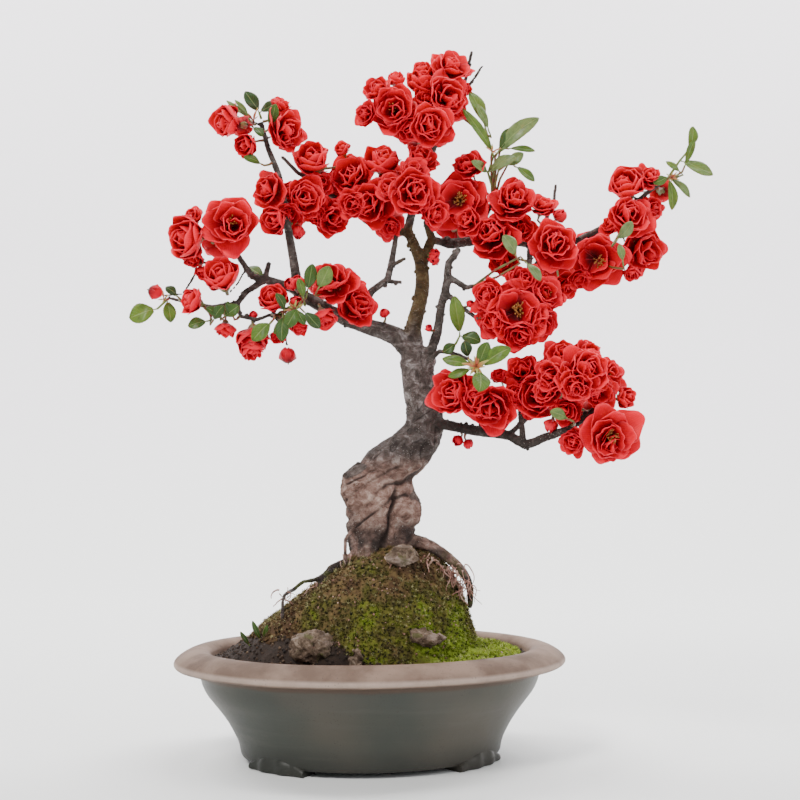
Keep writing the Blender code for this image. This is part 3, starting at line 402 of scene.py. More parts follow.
def stone_paint():
    """Brown and pinkish-grey stone with a pale band and dark pits."""
    paint = Paint("stone", 0.85, Specular_IOR_Level=0.25)
    grain = paint.noise(4, 6, 0.7, 0.5)
    colour = paint.ramp(grain, (0.3, (0.025, 0.015, 0.01)), (0.45, (0.085, 0.054, 0.036)),
                        (0.56, (0.17, 0.12, 0.085)), (0.72, (0.36, 0.28, 0.22)))
    band = paint.noise(11, 2, place=paint.stretched((0.6, 1.0, 2.0))).between(0.53, 0.63)
    colour = paint.mix(colour, (0.36, 0.28, 0.235), band * paint.heights().between(66, 74) * 0.4)
    pits = paint.cells(1.8).between(0.26, 0.08)
    colour = paint.mix(colour, (0.02, 0.014, 0.009), pits * 0.6)
    dirt = paint.noise(7, 5, 0.65).between(0.46, 0.6)
    colour = paint.mix(colour, (0.05, 0.033, 0.018), dirt * 0.45)
    lichen = paint.noise(6, 4).between(0.58, 0.68)
    colour = paint.mix(colour, (0.06, 0.065, 0.014), lichen * 0.6)
    relief = grain + paint.noise(1, 4) * 0.4 - pits * 0.5
    return paint.finish(colour, 0.75 + grain * 0.2, relief, depth_mm=0.9)


def plastic_paint():
    paint = Paint("screen_plastic", 0.5)
    weave = paint.cells(1.6)
    return paint.finish(paint.mix((0.008, 0.008, 0.009), (0.03, 0.03, 0.032), weave), relief=weave)


def wire_paint():
    paint = Paint("clip_wire", 0.35, 1.0)
    return paint.finish(paint.mix((0.42, 0.42, 0.43), (0.62, 0.62, 0.63), paint.noise(3, 3)),
                        0.3 + paint.noise(1.5, 3) * 0.25)


def backdrop_paint():
    paint = Paint("backdrop", 0.7)
    height = paint.heights()
    colour = paint.mix((0.79, 0.80, 0.785), (0.80, 0.775, 0.80), height.between(0, 260))
    return paint.finish(colour)


PAINTS = {
    "stoneware": stoneware_paint(), "bark": bark_paint(), "root": root_paint(), "petal": petal_paint(),
    "stamen": stamen_paint(), "calyx": calyx_paint(), "leaf": leaf_paint(), "bract": bract_paint(),
    "moss": moss_paint(), "soil": soil_paint(), "stone": stone_paint(), "screen": plastic_paint(),
    "wire": wire_paint(), "backdrop": backdrop_paint(),
}


# ---- mesh building ----

def linked(name, data):
    """A new object in the scene."""
    made = bpy.data.objects.new(name, data)
    bpy.context.scene.collection.objects.link(made)
    return made


def point_values(mesh, name, values):
    """Writes a point attribute."""
    layer = mesh.attributes.new(name, "FLOAT", "POINT")
    layer.data.foreach_set("value", np.array(values, np.float32))


def evaluated_mesh(made):
    """A mesh of the object with its modifiers applied."""
    graph = bpy.context.evaluated_depsgraph_get()
    return bpy.data.meshes.new_from_object(made.evaluated_get(graph))


class Shape:
    """Points, faces and their map, gathered for one piece."""

    def __init__(self):
        self.points, self.faces, self.map, self.shades = [], [], [], []

    def sheet(self, rows, thickness, shade=0.5):
        """A thin closed sheet from a grid of points, front side where the rows' cross product points."""
        grid = np.array([[tuple(point) for point in row] for row in rows], float)
        count, width = grid.shape[:2]
        down = np.gradient(grid, axis=0)
        across = np.gradient(grid, axis=1)
        normal = np.cross(across, down)
        normal /= np.maximum(np.linalg.norm(normal, axis=2, keepdims=True), 1e-12)
        start = len(self.points)
        for side, sheet in enumerate((grid, grid - normal * thickness)):
            for i in range(count):
                for j in range(width):
                    self.points.append(tuple(sheet[i, j]))
                    self.map.append((j / (width - 1), i / (count - 1)))
                    self.shades.append(shade)
        back = start + count * width
        for i in range(count - 1):
            for j in range(width - 1):
                a, b = start + i * width + j, start + i * width + j + 1
                c, d = a + width, b + width
                self.faces.append((a, b, d, c))
                self.faces.append((a + back - start, c + back - start, d + back - start, b + back - start))
        rim = [(0, j) for j in range(width)] + [(i, width - 1) for i in range(1, count)]
        rim += [(count - 1, j) for j in range(width - 2, -1, -1)] + [(i, 0) for i in range(count - 2, 0, -1)]
        for (i, j), (k, m) in zip(rim, rim[1:] + rim[:1]):
            a, b = start + i * width + j, start + k * width + m
            self.faces.append((a, a + back - start, b + back - start, b))

    def tube(self, path, radii, sides=6, shade=0.5):
        """A round tube with pointed ends along a path."""
        path = [Vector(point) for point in path]
        normal = None
        for i, centre in enumerate(path):
            along = (path[min(i + 1, len(path) - 1)] - path[max(i - 1, 0)]).normalized()
            if normal is None:
                normal = along.orthogonal()
            normal = (normal - along * normal.dot(along)).normalized()
            other = along.cross(normal)
            for k in range(sides):
                turn = 2 * math.pi * k / sides
                way = normal * math.cos(turn) + other * math.sin(turn)
                self.points.append(tuple(centre + radii[i] * way))
        ends = (path[0] - (path[1] - path[0]).normalized() * radii[0] * 0.5,
                path[-1] + (path[-1] - path[-2]).normalized() * radii[-1] * 0.5)
        self.close_rings(len(path), sides, ends, shade)

    def turn(self, profile, sides, matrix, shade=0.5):
        """A turned solid: (out, up) rows between two poles, placed by a matrix."""
        rows = profile[1:-1]
        for out, up in rows:
            for k in range(sides):
                turn = 2 * math.pi * k / sides
                self.points.append(tuple(matrix @ Vector((out * math.cos(turn), out * math.sin(turn), up))))
        ends = [matrix @ Vector((0, 0, row[1])) for row in (profile[0], profile[-1])]
        self.close_rings(len(rows), sides, ends, shade)

    def close_rings(self, rings, sides, ends, shade):
        """Skins the rings added last and closes them at two end points."""
        start = len(self.points) - rings * sides
        self.points += [tuple(end) for end in ends]
        added = rings * sides + 2
        self.map += [(0.5, 0.5)] * added
        self.shades += [shade] * added
        for i in range(rings - 1):
            for k in range(sides):
                a, b = start + i * sides + k, start + i * sides + (k + 1) % sides
                self.faces.append((a, b, b + sides, a + sides))
        tail, tip = start + added - 2, start + added - 1
        last = start + (rings - 1) * sides
        for k in range(sides):
            self.faces.append((tail, start + (k + 1) % sides, start + k))
            self.faces.append((tip, last + k, last + (k + 1) % sides))

    def piece(self, name, paint, replaced=(), slot=None):
        """The finished object, riding on the root body."""
        mesh = bpy.data.meshes.new(name)
        mesh.from_pydata(self.points, [], self.faces)
        layer = mesh.uv_layers.new(name=PETAL_MAP)
        corners = np.empty(len(mesh.loops), np.int32)
        mesh.loops.foreach_get("vertex_index", corners)
        layer.data.foreach_set("uv", np.array(self.map, np.float32)[corners].ravel())
        point_values(mesh, "shade", self.shades)
        return finished(name, mesh, paint, replaced)


def finished(name, mesh, paint, replaced=()):
    """A smooth object at the origin with its paint, riding on the root body, with the CAD parts it replaces
    hidden.
    """
    mesh.name = name
    mesh.materials.clear()
    mesh.materials.append(PAINTS[paint])
    mesh.shade_smooth()
    made = linked(name, mesh)
    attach(made, BODY)
    if replaced:
        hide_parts(*replaced)
    return made


def cad_copy(node):
    """A bmesh of a CAD node's mesh with its doubles merged."""
    work = bmesh.new()
    work.from_mesh(frame["nodes"][node].data)
    bmesh.ops.remove_doubles(work, verts=work.verts, dist=1e-6)
    return work


def wood_surface():
    """The CAD wood, for finding its nearest place."""
    work = cad_copy("tree")
    wood = BVHTree.FromBMesh(work)
    work.free()
    return wood


def numpy_points(mesh):
    points = np.empty(len(mesh.vertices) * 3)
    mesh.vertices.foreach_get("co", points)
    return points.reshape(-1, 3)


# ---- the pot ----

def pot_profile():
    """(half-length, half-width, height) in millimetres, from the underside round the lip to the floor."""
    base, shoulder = BASE_LENGTH / 2, POT_LENGTH / 2 - LIP_SHOULDER
    edge = POT_HEIGHT - LIP_DROP
    rise = edge - 3.5 - FOOT_HEIGHT

    def body_width(half):
        share = (half - base) / (shoulder - base)
        return BASE_WIDTH / 2 + share * (POT_WIDTH / 2 - LIP_SHOULDER - BASE_WIDTH / 2)

    flare = ((-0.08, 0.0), (0.0, 0.008), (0.03, 0.035), (0.045, 0.075), (0.06, 0.12), (0.1, 0.19),
             (0.16, 0.26), (0.23, 0.335), (0.31, 0.41), (0.41, 0.49), (0.52, 0.57), (0.62, 0.64),
             (0.72, 0.71), (0.79, 0.775), (0.84, 0.84), (0.865, 0.89), (0.885, 0.93), (0.92, 0.965),
             (0.96, 0.985), (1.0, 1.0))
    rows = [(base + share * (shoulder - base), body_width(base + share * (shoulder - base)),
             FOOT_HEIGHT + height * rise) for share, height in flare]
    lip = ((9.0, -3.3), (6.0, -2.9), (3.4, -2.5), (1.8, -2.0), (0.7, -1.2), (0.15, -0.3), (0.1, 0.7),
           (0.5, 1.7), (1.4, 2.8), (2.8, 4.0), (4.6, 5.2), (6.8, 6.4), (9.2, 7.3), (11.6, 7.85), (14.0, 8.0),
           (16.2, 7.75), (18.0, 7.2), (19.4, 6.4), (20.4, 5.3), (20.9, 4.0))
    rows += [(POT_LENGTH / 2 - inset, POT_WIDTH / 2 - inset, edge + up) for inset, up in lip]
    floor = FOOT_HEIGHT + FLOOR
    mouth = POT_LENGTH / 2 - LIP_WIDTH
    depth = POT_WIDTH / 2 - LIP_WIDTH
    inner = ((0.0, 55), (-0.5, 52), (-5, 47), (-9, 37), (-13.5, 28), (-18, 19), (-22, floor + 4),
             (-26, floor))
    rows += [(mouth + out, depth + out, height) for out, height in inner]
    return rows


def build_pot():
    """The turned oval body, its four cloud feet and two drain holes, as one skin."""
    sides = POT_SIDES
    rows = pot_profile()
    points, faces = [], []
    for half_length, half_width, z in rows:
        for k in range(sides):
            angle = 2 * math.pi * k / sides
            x, y = turned(half_length * math.cos(angle), half_width * math.sin(angle))
            hand = noise.noise(Vector((x, y, z)) * 0.02) * 0.35
            points.append(tuple(at(x, y, z + (hand if z > 20 else 0))))
    for i in range(len(rows) - 1):
        for k in range(sides):
            a, b = i * sides + k, i * sides + (k + 1) % sides
            faces.append((a, b, b + sides, a + sides))
    faces.append(tuple(range(sides - 1, -1, -1)))
    last = (len(rows) - 1) * sides
    faces.append(tuple(range(last, last + sides)))
    body = helper_object("pot_body", points, faces)
    for middle in FOOT_MIDDLES:
        join_boolean(body, foot_object(middle), "UNION")
    for side in (-1, 1):
        join_boolean(body, drill_object(side * DRAIN_APART / 2), "DIFFERENCE")
    mesh = body.data.copy()
    bpy.data.objects.remove(body)
    finished("oval_pot", mesh, "stoneware", ("pot",))
    mesh.set_sharp_from_angle(angle=math.radians(55))


def drill_object(along):
    """The cylinder that cuts one drain hole."""
    x, y = turned(along, 0)
    sides = DRAIN_SIDES
    angles = [math.tau * k / sides for k in range(sides)]
    ring = [(x + DRAIN_RADIUS * math.cos(angle), y + DRAIN_RADIUS * math.sin(angle)) for angle in angles]
    points = [tuple(at(px, py, z)) for z in (-2, 12) for px, py in ring]
    faces = [(k, (k + 1) % sides, sides + (k + 1) % sides, sides + k) for k in range(sides)]
    faces += [tuple(range(sides - 1, -1, -1)), tuple(range(sides, 2 * sides))]
    return helper_object("drill", points, faces)


def helper_object(name, points, faces):
    """An object that is cut with, joined or copied, with its faces turned out."""
    mesh = bpy.data.meshes.new(name)
    mesh.from_pydata(points, [], faces)
    work = bmesh.new()
    work.from_mesh(mesh)
    bmesh.ops.recalc_face_normals(work, faces=work.faces)
    work.to_mesh(mesh)
    work.free()
    return linked(name, mesh)


def join_boolean(made, other, operation):
    """Applies one Boolean and removes the other object."""
    step = made.modifiers.new("join", "BOOLEAN")
    step.operation, step.object, step.solver = operation, other, "EXACT"
    mesh = evaluated_mesh(made)
    made.modifiers.clear()
    made.data = mesh
    bpy.data.objects.remove(other)


def foot_object(middle):
    """One cloud foot: soft lobes that follow the base's corner."""
    steps, spread, bulge = 36, 17.0, 2.6
    section = ((-11, 0.0), (-1.6, 0.0), (-0.7, 0.25), (-0.15, 0.9), (0.0, 1.8))
    points = []
    for step in range(steps + 1):
        share = step / steps
        angle = math.radians(middle + (share - 0.5) * 2 * spread)
        reach = bulge * (0.8 + 0.2 * math.cos(6 * math.pi * share))
        height = FOOT_HEIGHT + 5.5 * math.sin(math.pi * share) + 1.5
        rows = [(reach + out, up) if out > -5 else (out, up) for out, up in section]
        rows += [(reach - 0.2, height * 0.55), (reach - 0.9, height * 0.8), (-0.6, height * 0.96),
                 (-2.4, height), (-11, height)]
        for out, z in rows:
            x, y = (BASE_LENGTH / 2 + out) * math.cos(angle), (BASE_WIDTH / 2 + out) * math.sin(angle)
            points.append(tuple(at(*turned(x, y), z)))
    width = len(rows)
    corners = ((0, 0), (0, 1), (1, 1), (1, 0))
    faces = [tuple((i + down) * width + (j + across) % width for down, across in corners)
             for i in range(steps) for j in range(width)]
    faces += [tuple(range(width)), tuple(range(steps * width + width - 1, steps * width - 1, -1))]
    return helper_object("foot", points, faces)


# ---- the ground ----

def soil_height(x, y):
    """The soil's surface in millimetres: flat by the lip, with a mound that is steep but at its left."""
    dx, dy = x - MOUND_OFFSET, y * 72 / 52
    stretched = max(math.hypot(dx, dy), 1e-6)
    right = 0.5 + 0.5 * dx / stretched
    reach = MOUND_LEFT + (MOUND_RIGHT - MOUND_LEFT) * right
    power = 1.05 + 1.95 * max(right, (dy / stretched) ** 2)
    share = max(0.0, 1 - (stretched / reach) ** power)
    rough = noise.noise(Vector((x, y, 0)) * 0.07) * 2.4 * min(1, 3 * share)
    return SOIL_LEVEL + MOUND_HEIGHT * share + rough


def moss_reach(angle):
    """How far out the moss grows, as a share of the way to the pot's wall."""
    left = 0.5 - 0.5 * math.cos(angle)
    front_left = math.exp(-((angle - math.radians(238)) / math.radians(27)) ** 2)
    ragged = 0.05 * noise.noise(Vector((3 * math.cos(angle), 3 * math.sin(angle), 2.0)))
    return 0.95 - 0.15 * left ** 2 - 0.07 * front_left + 0.02 * math.sin(5 * angle) + ragged


def ground_point(share, angle):
    half_length, half_width = POT_LENGTH / 2 - LIP_WIDTH - 0.6, POT_WIDTH / 2 - LIP_WIDTH - 0.6
    x = MOUND_OFFSET * (1 - share) + share * half_length * math.cos(angle)
    y = share * half_width * math.sin(angle)
    return turned(x, y, POT_TURN * share)


def ground_grid(rings, sides, reach_of, lift):
    """Rings of ground points, out to reach_of(angle), raised by lift(x, y, share)."""
    rows = []
    for ring in range(rings + 1):
        row = []
        for k in range(sides):
            angle = math.tau * k / sides
            share = max(ring / rings, 1e-3) * reach_of(angle)
            x, y = ground_point(share, angle)
            row.append((x, y, soil_height(x, y) + lift(x, y, ring / rings)))
        rows.append(row)
    return rows


def ground_piece(name, top, bottom, paint, node, extra=None):
    """A closed skin between two grids of rings, with a point attribute where one is given."""
    sides = len(top[0])
    rings = top + bottom[::-1]
    points = [tuple(at(*point)) for row in rings for point in row]
    faces = []
    for i in range(len(rings) - 1):
        for k in range(sides):
            a, b = i * sides + k, i * sides + (k + 1) % sides
            faces.append((a, a + sides, b + sides, b))
    faces.append(tuple(range(sides)))
    last = (len(rings) - 1) * sides
    faces.append(tuple(range(last + sides - 1, last - 1, -1)))
    mesh = bpy.data.meshes.new(name)
    mesh.from_pydata(points, [], faces)
    for attribute, rule in (extra or {}).items():
        point_values(mesh, attribute, [rule(*point) for row in rings for point in row])
    return finished(name, mesh, paint, (node,))


def dampness(x, y, z):
    """Wetter, brighter moss at the right foot of the mound and in its front hollow; dry at its left."""
    wet = smoothstep(25, 66, x) * smoothstep(80, 60, z)
    front = 0.22 * smoothstep(-20, 20, x) * smoothstep(100, 74, z) * smoothstep(10, -30, y)
    dry = 0.28 * smoothstep(0, -50, x)
    spots = 0.34 * noise.noise(Vector((x, y, z)) * 0.05)
    top = 0.16 * smoothstep(84, 108, z)
    return min(1.0, max(0.0, 0.46 + 0.5 * wet + front - dry - top + spots))


def build_soil():
    def crumbs(x, y, share):
        lumps = noise.fractal(Vector((x, y, 3)) * 0.22, 1.0, 2.0, 4) * 1.5
        return lumps * smoothstep(1.0, 0.94, share) - 0.4

    top = ground_grid(64, 190, lambda angle: 1.0, crumbs)
    inward = ((0.62, 10.5), (0.8, 18), (0.9, 34), (0.955, 48))
    low = [[(x * share, y * share, z) for x, y, _ in top[-1]] for share, z in inward]
    extra = {"shade": lambda x, y, z: 0.4}
    return ground_piece("soil_bed", top, low, "soil", "potting_soil", extra)


def build_moss():
    def cushion(x, y, share):
        lumps = 0.9 * noise.noise(Vector((x, y, 5)) * 0.12) + 0.7 * noise.noise(Vector((x, y, 9)) * 0.3)
        return MOSS_THICKNESS * smoothstep(1.0, 0.9, share) * (1 + 0.5 * lumps)

    top = ground_grid(56, 170, moss_reach, cushion)
    low = ground_grid(6, 170, moss_reach, lambda x, y, share: -1.5 - 0.5 * share)
    extra = {"shade": lambda x, y, z: 0.35, "damp": dampness}
    return ground_piece("moss_cover", top, low, "moss", "moss_carpet", extra)


# ---- scattered small things, by Geometry Nodes ----

class Nodes:
    """A Geometry Nodes tree with named inputs."""

    def __init__(self, name, **inputs):
        self.tree = bpy.data.node_groups.new(name, "GeometryNodeTree")
        face = self.tree.interface
        face.new_socket("Geometry", in_out="INPUT", socket_type="NodeSocketGeometry")
        face.new_socket("Geometry", in_out="OUTPUT", socket_type="NodeSocketGeometry")
        self.ids = {}
        for label, value in inputs.items():
            kind = "NodeSocketObject" if value is None else "NodeSocketFloat"
            made = face.new_socket(label, in_out="INPUT", socket_type=kind)
            if value is not None:
                made.default_value = value
            self.ids[label] = made.identifier
        self.source = self.tree.nodes.new("NodeGroupInput")
        self.result = self.tree.nodes.new("NodeGroupOutput")

    def node(self, kind, inputs=None, out=0, **settings):
        made = self.tree.nodes.new(kind)
        for setting, value in settings.items():
            setattr(made, setting, value)
        for key, value in (inputs or {}).items():
            if isinstance(value, bpy.types.NodeSocket):
                self.tree.links.new(value, made.inputs[key])
            else:
                made.inputs[key].default_value = value
        return made.outputs[out]

    def given(self, label):
        return self.source.outputs[label]


def scatter_tree(name, paint, mask, seed):
    """Copies of a small shape over a surface where its mask attribute is high, each with its own shade."""
    tree = Nodes(name, per_square_mm=1.0, smallest=0.6, largest=1.2, lean=0.5, shape=None)
    weight = tree.node("GeometryNodeInputNamedAttribute", {"Name": mask}, data_type="FLOAT")
    density = tree.node("ShaderNodeMath", {0: tree.given("per_square_mm"), 1: 1e6}, operation="MULTIPLY")
    density = tree.node("ShaderNodeMath", {0: density, 1: weight}, operation="MULTIPLY")
    spread = tree.tree.nodes.new("GeometryNodeDistributePointsOnFaces")
    tree.tree.links.new(tree.given("Geometry"), spread.inputs["Mesh"])
    tree.tree.links.new(density, spread.inputs["Density"])
    spread.inputs["Seed"].default_value = seed
    shape = tree.node("GeometryNodeObjectInfo", {"Object": tree.given("shape")}, out="Geometry")
    tilt = tree.node("FunctionNodeRandomValue", {"Min": (-1.0, -1.0, 0.0), "Max": (1.0, 1.0, 6.28),
                                                 "Seed": seed + 1}, data_type="FLOAT_VECTOR")
    lean = tree.node("ShaderNodeCombineXYZ", {0: tree.given("lean"), 1: tree.given("lean"), 2: 1.0})
    tilt = tree.node("ShaderNodeVectorMath", {0: tilt, 1: lean}, operation="MULTIPLY")
    tilt = tree.node("FunctionNodeEulerToRotation", {0: tilt})
    turn = tree.node("FunctionNodeRotateRotation", {"Rotation": spread.outputs["Rotation"],
                                                    "Rotate By": tilt}, rotation_space="LOCAL")
    size = tree.node("FunctionNodeRandomValue", {2: tree.given("smallest"), 3: tree.given("largest"),
                                                 "Seed": seed + 2}, out=1, data_type="FLOAT")
    copies = tree.node("GeometryNodeInstanceOnPoints", {"Points": spread.outputs["Points"], "Instance": shape,
                                                        "Rotation": turn, "Scale": size})
    shade = tree.node("FunctionNodeRandomValue", {"Seed": seed + 3}, out=1, data_type="FLOAT")
    marked = {"Geometry": copies, "Name": "shade", "Value": shade}
    marked = tree.node("GeometryNodeStoreNamedAttribute", marked, data_type="FLOAT", domain="INSTANCE")
    whole = tree.node("GeometryNodeRealizeInstances", {0: marked})
    whole = tree.node("GeometryNodeSetMaterial", {"Geometry": whole, "Material": PAINTS[paint]})
    tree.tree.links.new(whole, tree.result.inputs[0])
    return tree


def scatter(name, surface, shape, paint, mask, seed, slot, **settings):
    """Runs a scatter tree on a copy of a surface and keeps the result as a plain piece."""
    tree = scatter_tree(name + "_tree", paint, mask, seed)
    carrier = linked(name + "_carrier", surface.data.copy())
    step = carrier.modifiers.new("scatter", "NODES")
    step.node_group = tree.tree
    for label, value in {**settings, "shape": shape}.items():
        step[tree.ids[label]] = value
    mesh = evaluated_mesh(carrier)
    bpy.data.objects.remove(carrier)
    bpy.data.objects.remove(shape)
    finished(name, mesh, paint)


def mark(made, attribute, rule):
    """Writes a point attribute from a rule of each point's place in millimetres from the pot's foot."""
    values = [rule(*((Vector(point) - POT_MIDDLE) / MM)) for point in numpy_points(made.data)]
    point_values(made.data, attribute, values)


def tuft_shape(blades, height, spread, width, seed):
    """A small spray of moss blades, each a thin closed wedge."""
    rng = random.Random(seed)
    points, faces = [], []
    for blade in range(blades):
        turn = math.tau * (blade + rng.random() * 0.6) / blades
        reach, tall = spread * rng.uniform(0.5, 1.1), height * rng.uniform(0.7, 1.15)
        side = Vector((-math.sin(turn), math.cos(turn), 0)) * width
        out = Vector((math.cos(turn), math.sin(turn), 0))
        a = len(points)
        points += [side, -side, out * width * 1.8, out * reach + Vector((0, 0, tall))]
        faces += [(a, a + 1, a + 2), (a, a + 3, a + 1), (a + 1, a + 3, a + 2), (a + 2, a + 3, a)]
    return helper_object("tuft", [tuple(point * MM) for point in points], faces)


def grain_shape(radius):
    """A small uneven grain."""
    work = bmesh.new()
    bmesh.ops.create_icosphere(work, subdivisions=1, radius=radius * MM)
    for vert in work.verts:
        vert.co *= 1 + 0.35 * noise.noise(vert.co * 900 + Vector((3, 1, 7)))
    mesh = bpy.data.meshes.new("grain")
    work.to_mesh(mesh)
    work.free()
    return linked("grain", mesh)


def build_ground_cover(soil, moss):
    """Moss tufts on the carpet, crumbs on the bare soil, and dry bits between the tufts."""
    def mossy(x, y, z):
        return smoothstep(SOIL_LEVEL - 2, SOIL_LEVEL + 1, z) * (0.45 + 0.7 * dampness(x, y, z))

    def top_of_soil(x, y, z):
        return smoothstep(SOIL_LEVEL - 4, SOIL_LEVEL - 1.5, z)

    mark(moss, "mossy", mossy)
    mark(soil, "bare", top_of_soil)
    scatter("moss_tufts", moss, tuft_shape(5, 1.5, 0.95, 0.22, 5), "moss", "mossy", 11, "moss",
            per_square_mm=0.38, smallest=0.6, largest=1.35, lean=0.5)
    scatter("moss_tufts_low", moss, tuft_shape(5, 1.1, 1.0, 0.26, 6), "moss", "mossy", 47, "moss",
            per_square_mm=0.38, smallest=0.5, largest=1.1, lean=0.6)
    scatter("dry_bits", moss, grain_shape(0.5), "root", "mossy", 37, "moss",
            per_square_mm=0.04, smallest=0.4, largest=1.6, lean=1.5)
    scatter("soil_crumbs", soil, grain_shape(0.75), "soil", "bare", 23, "soil",
            per_square_mm=0.16, smallest=0.35, largest=1.5, lean=1.5)


# ---- stones ----

def build_stones():
    """Each stone's solid, rounded and then broken into worn slabs and ridges."""
    for node in ("stone_at_trunk", "stone_front", "stone_left", "stone_pebble"):
        work = cad_copy(node)
        bmesh.ops.subdivide_edges(work, edges=work.edges, cuts=4, use_grid_fill=True)
        for _ in range(3):
            bmesh.ops.smooth_vert(work, verts=work.verts, factor=0.5, use_axis_x=True, use_axis_y=True,
                                  use_axis_z=True)
        bmesh.ops.subdivide_edges(work, edges=work.edges, cuts=1, use_grid_fill=True)
        work.normal_update()
        for vert in work.verts:
            place = vert.co * 1000
            slab = Vector((place.x + 0.8 * place.z, place.y, place.z - 0.6 * place.x))
            step = noise.cell(Vector((slab.x * 0.2, slab.y * 0.1, slab.z * 0.12)))
            ridge = noise.hetero_terrain(place * 0.16, 0.6, 2.1, 5, 0.5)
            vert.co += vert.normal * MM * (0.6 * (ridge - 0.6) + 1.5 * (step - 0.5) + 0.2)
        mesh = bpy.data.meshes.new(node + "_rock")
        work.to_mesh(mesh)
        work.free()
        finished(node + "_rock", mesh, "stone", (node,))


# ---- the wood ----

def ridged(place):
    return 1 - abs(noise.noise(place)) * 2


# Deep slanting folds of the swollen base: the fold's place along the slant, how deep and how wide
FOLDS = [(134, 1.5, 1.3), (142.5, 2.1, 1.5), (152, 1.5, 1.2), (159, 1.2, 1.0)]


def swollen_relief(place):
    """(height, crack) of the swollen base: deep slanting folds, fine wrinkles and one long cleft."""
    wander = 3.5 * noise.noise(place * 0.06) + 1.2 * noise.noise(place * 0.2 + Vector((4, 0, 0)))
    slant = place.z - 0.62 * (place.x - 3) + 0.25 * place.y + wander
    height, crack = 0.0, 0.0
    for middle, depth, width in FOLDS:
        strength = 0.45 + 0.55 * smoothstep(-0.3, 0.3, noise.noise(place * 0.05 + Vector((middle, 0, 0))))
        fold = math.exp(-((slant - middle) / width) ** 2) * strength
        height -= depth * fold
        crack = max(crack, fold)
    height += 0.24 * math.sin(slant * 2.3 + 2 * noise.noise(place * 0.3)) + 0.5 * noise.noise(place * 0.22)
    cleft_x = 14.5 + (place.z - 150) * 0.26 + 1.2 * noise.noise(place * 0.15)
    cleft = math.exp(-((place.x - cleft_x) / 1.7) ** 2)
    cleft = cleft * smoothstep(157, 147, place.z) * smoothstep(2, -6, place.y)
    height -= 3.2 * cleft
    return height, max(crack, cleft)


def bark_relief(place, thickness):
    """(height, crack) of the bark at a place in millimetres, for wood this thick."""
    size = min(1.0, thickness / 22)
    warp = Vector((noise.noise(place * 0.05), noise.noise(place * 0.05 + Vector((9, 0, 0))), 0)) * 9
    along = Vector((place.x, place.y, place.z * 0.34)) + warp
    crack = smoothstep(0.86, 0.98, ridged(along * 0.15)) * size * 0.8
    rings = noise.noise(Vector((place.x * 0.16, place.y * 0.16, place.z * 1.15)))
    height = (0.6 * noise.noise(place * 0.12) + 0.28 * rings) * size - 0.6 * crack
    height -= 0.3 * smoothstep(0.75, 0.96, ridged(along * 0.42 + Vector((5, 5, 5)))) * size
    swollen = smoothstep(169, 161, place.z) * smoothstep(113, 123, place.z) * smoothstep(8, 16, thickness)
    if swollen > 0:
        knob_height, knob_crack = swollen_relief(place)
        height = height * (1 - 0.6 * swollen) + knob_height * swollen
        crack = crack * (1 - swollen) + knob_crack * swollen
    fine = 0.2 * noise.noise(place * 0.9) + 0.12 * noise.noise(place * 2.1)
    return height + fine * min(1.0, thickness / 5), crack


def build_wood():
    """The tree's skin: the CAD wood, remeshed fine, smoothed and given bark relief."""
    work = cad_copy("tree")
    mesh = bpy.data.meshes.new("quince_wood")
    work.to_mesh(mesh)
    work.free()
    carrier = linked("wood_carrier", mesh)
    remesh = carrier.modifiers.new("fine", "REMESH")
    remesh.mode, remesh.voxel_size, remesh.adaptivity = "VOXEL", BARK_VOXEL * MM, 0.0
    smooth = carrier.modifiers.new("even", "SMOOTH")
    smooth.factor, smooth.iterations = 0.5, 5
    mesh = evaluated_mesh(carrier)
    bpy.data.objects.remove(carrier)
    points = numpy_points(mesh)
    normals = np.empty(len(mesh.vertices) * 3)
    mesh.vertex_normals.foreach_get("vector", normals)
    normals = normals.reshape(-1, 3)
    tree = BVHTree.FromPolygons([tuple(p) for p in points], [tuple(f.vertices) for f in mesh.polygons])
    marks = {"warm": [], "green": [], "crack": [], "thin": []}
    moved = points.copy()
    for i, (point, normal) in enumerate(zip(points, normals)):
        spot, way = Vector(point), Vector(normal)
        hit = tree.ray_cast(spot - way * (0.2 * MM), -way, DEEPEST_WOOD * MM)
        thickness = (hit[3] / MM) if hit[3] else 3.0
        place = (spot - POT_MIDDLE) / MM
        height, crack = bark_relief(place, thickness)
        plump = 0.3 if thickness < 5 else 0.1
        moved[i] = point + normal * MM * (height + plump)
        marks["warm"].append(smoothstep(172, 160, place.z) * smoothstep(96, 112, place.z))
        leader = smoothstep(230, 240, place.z) * smoothstep(304, 296, place.z) * smoothstep(40, 34, place.x)
        marks["green"].append(leader * smoothstep(12, 18, place.x) * smoothstep(-2, 2, place.y))
        marks["crack"].append(crack)
        marks["thin"].append(smoothstep(12, 6, thickness) * smoothstep(125, 150, place.z))
    mesh.vertices.foreach_set("co", moved.ravel())
    for name, values in marks.items():
        point_values(mesh, name, values)
    return finished("quince_wood", mesh, "bark", ("tree",))


# Fine roots: where each tangle starts, how it spreads and how many strands it has
ROOT_TANGLES = [
    ((-27, -18, 98), (5, 4), 13, 26), ((-29, -18, 90), (4, 4), 9, 16), ((45, -14, 106), (8, 4), 12, 26),
    ((50, -12, 98), (5, 3), 10, 22), ((32, -15, 112), (5, 3), 10, 12), ((-46, -25, 94), (4, 3), 6, 8),
    ((6, -25, 112), (10, 3), 8, 7), ((-14, -19, 112), (4, 3), 8, 7), ((20, 22, 108), (12, 6), 10, 8),
]


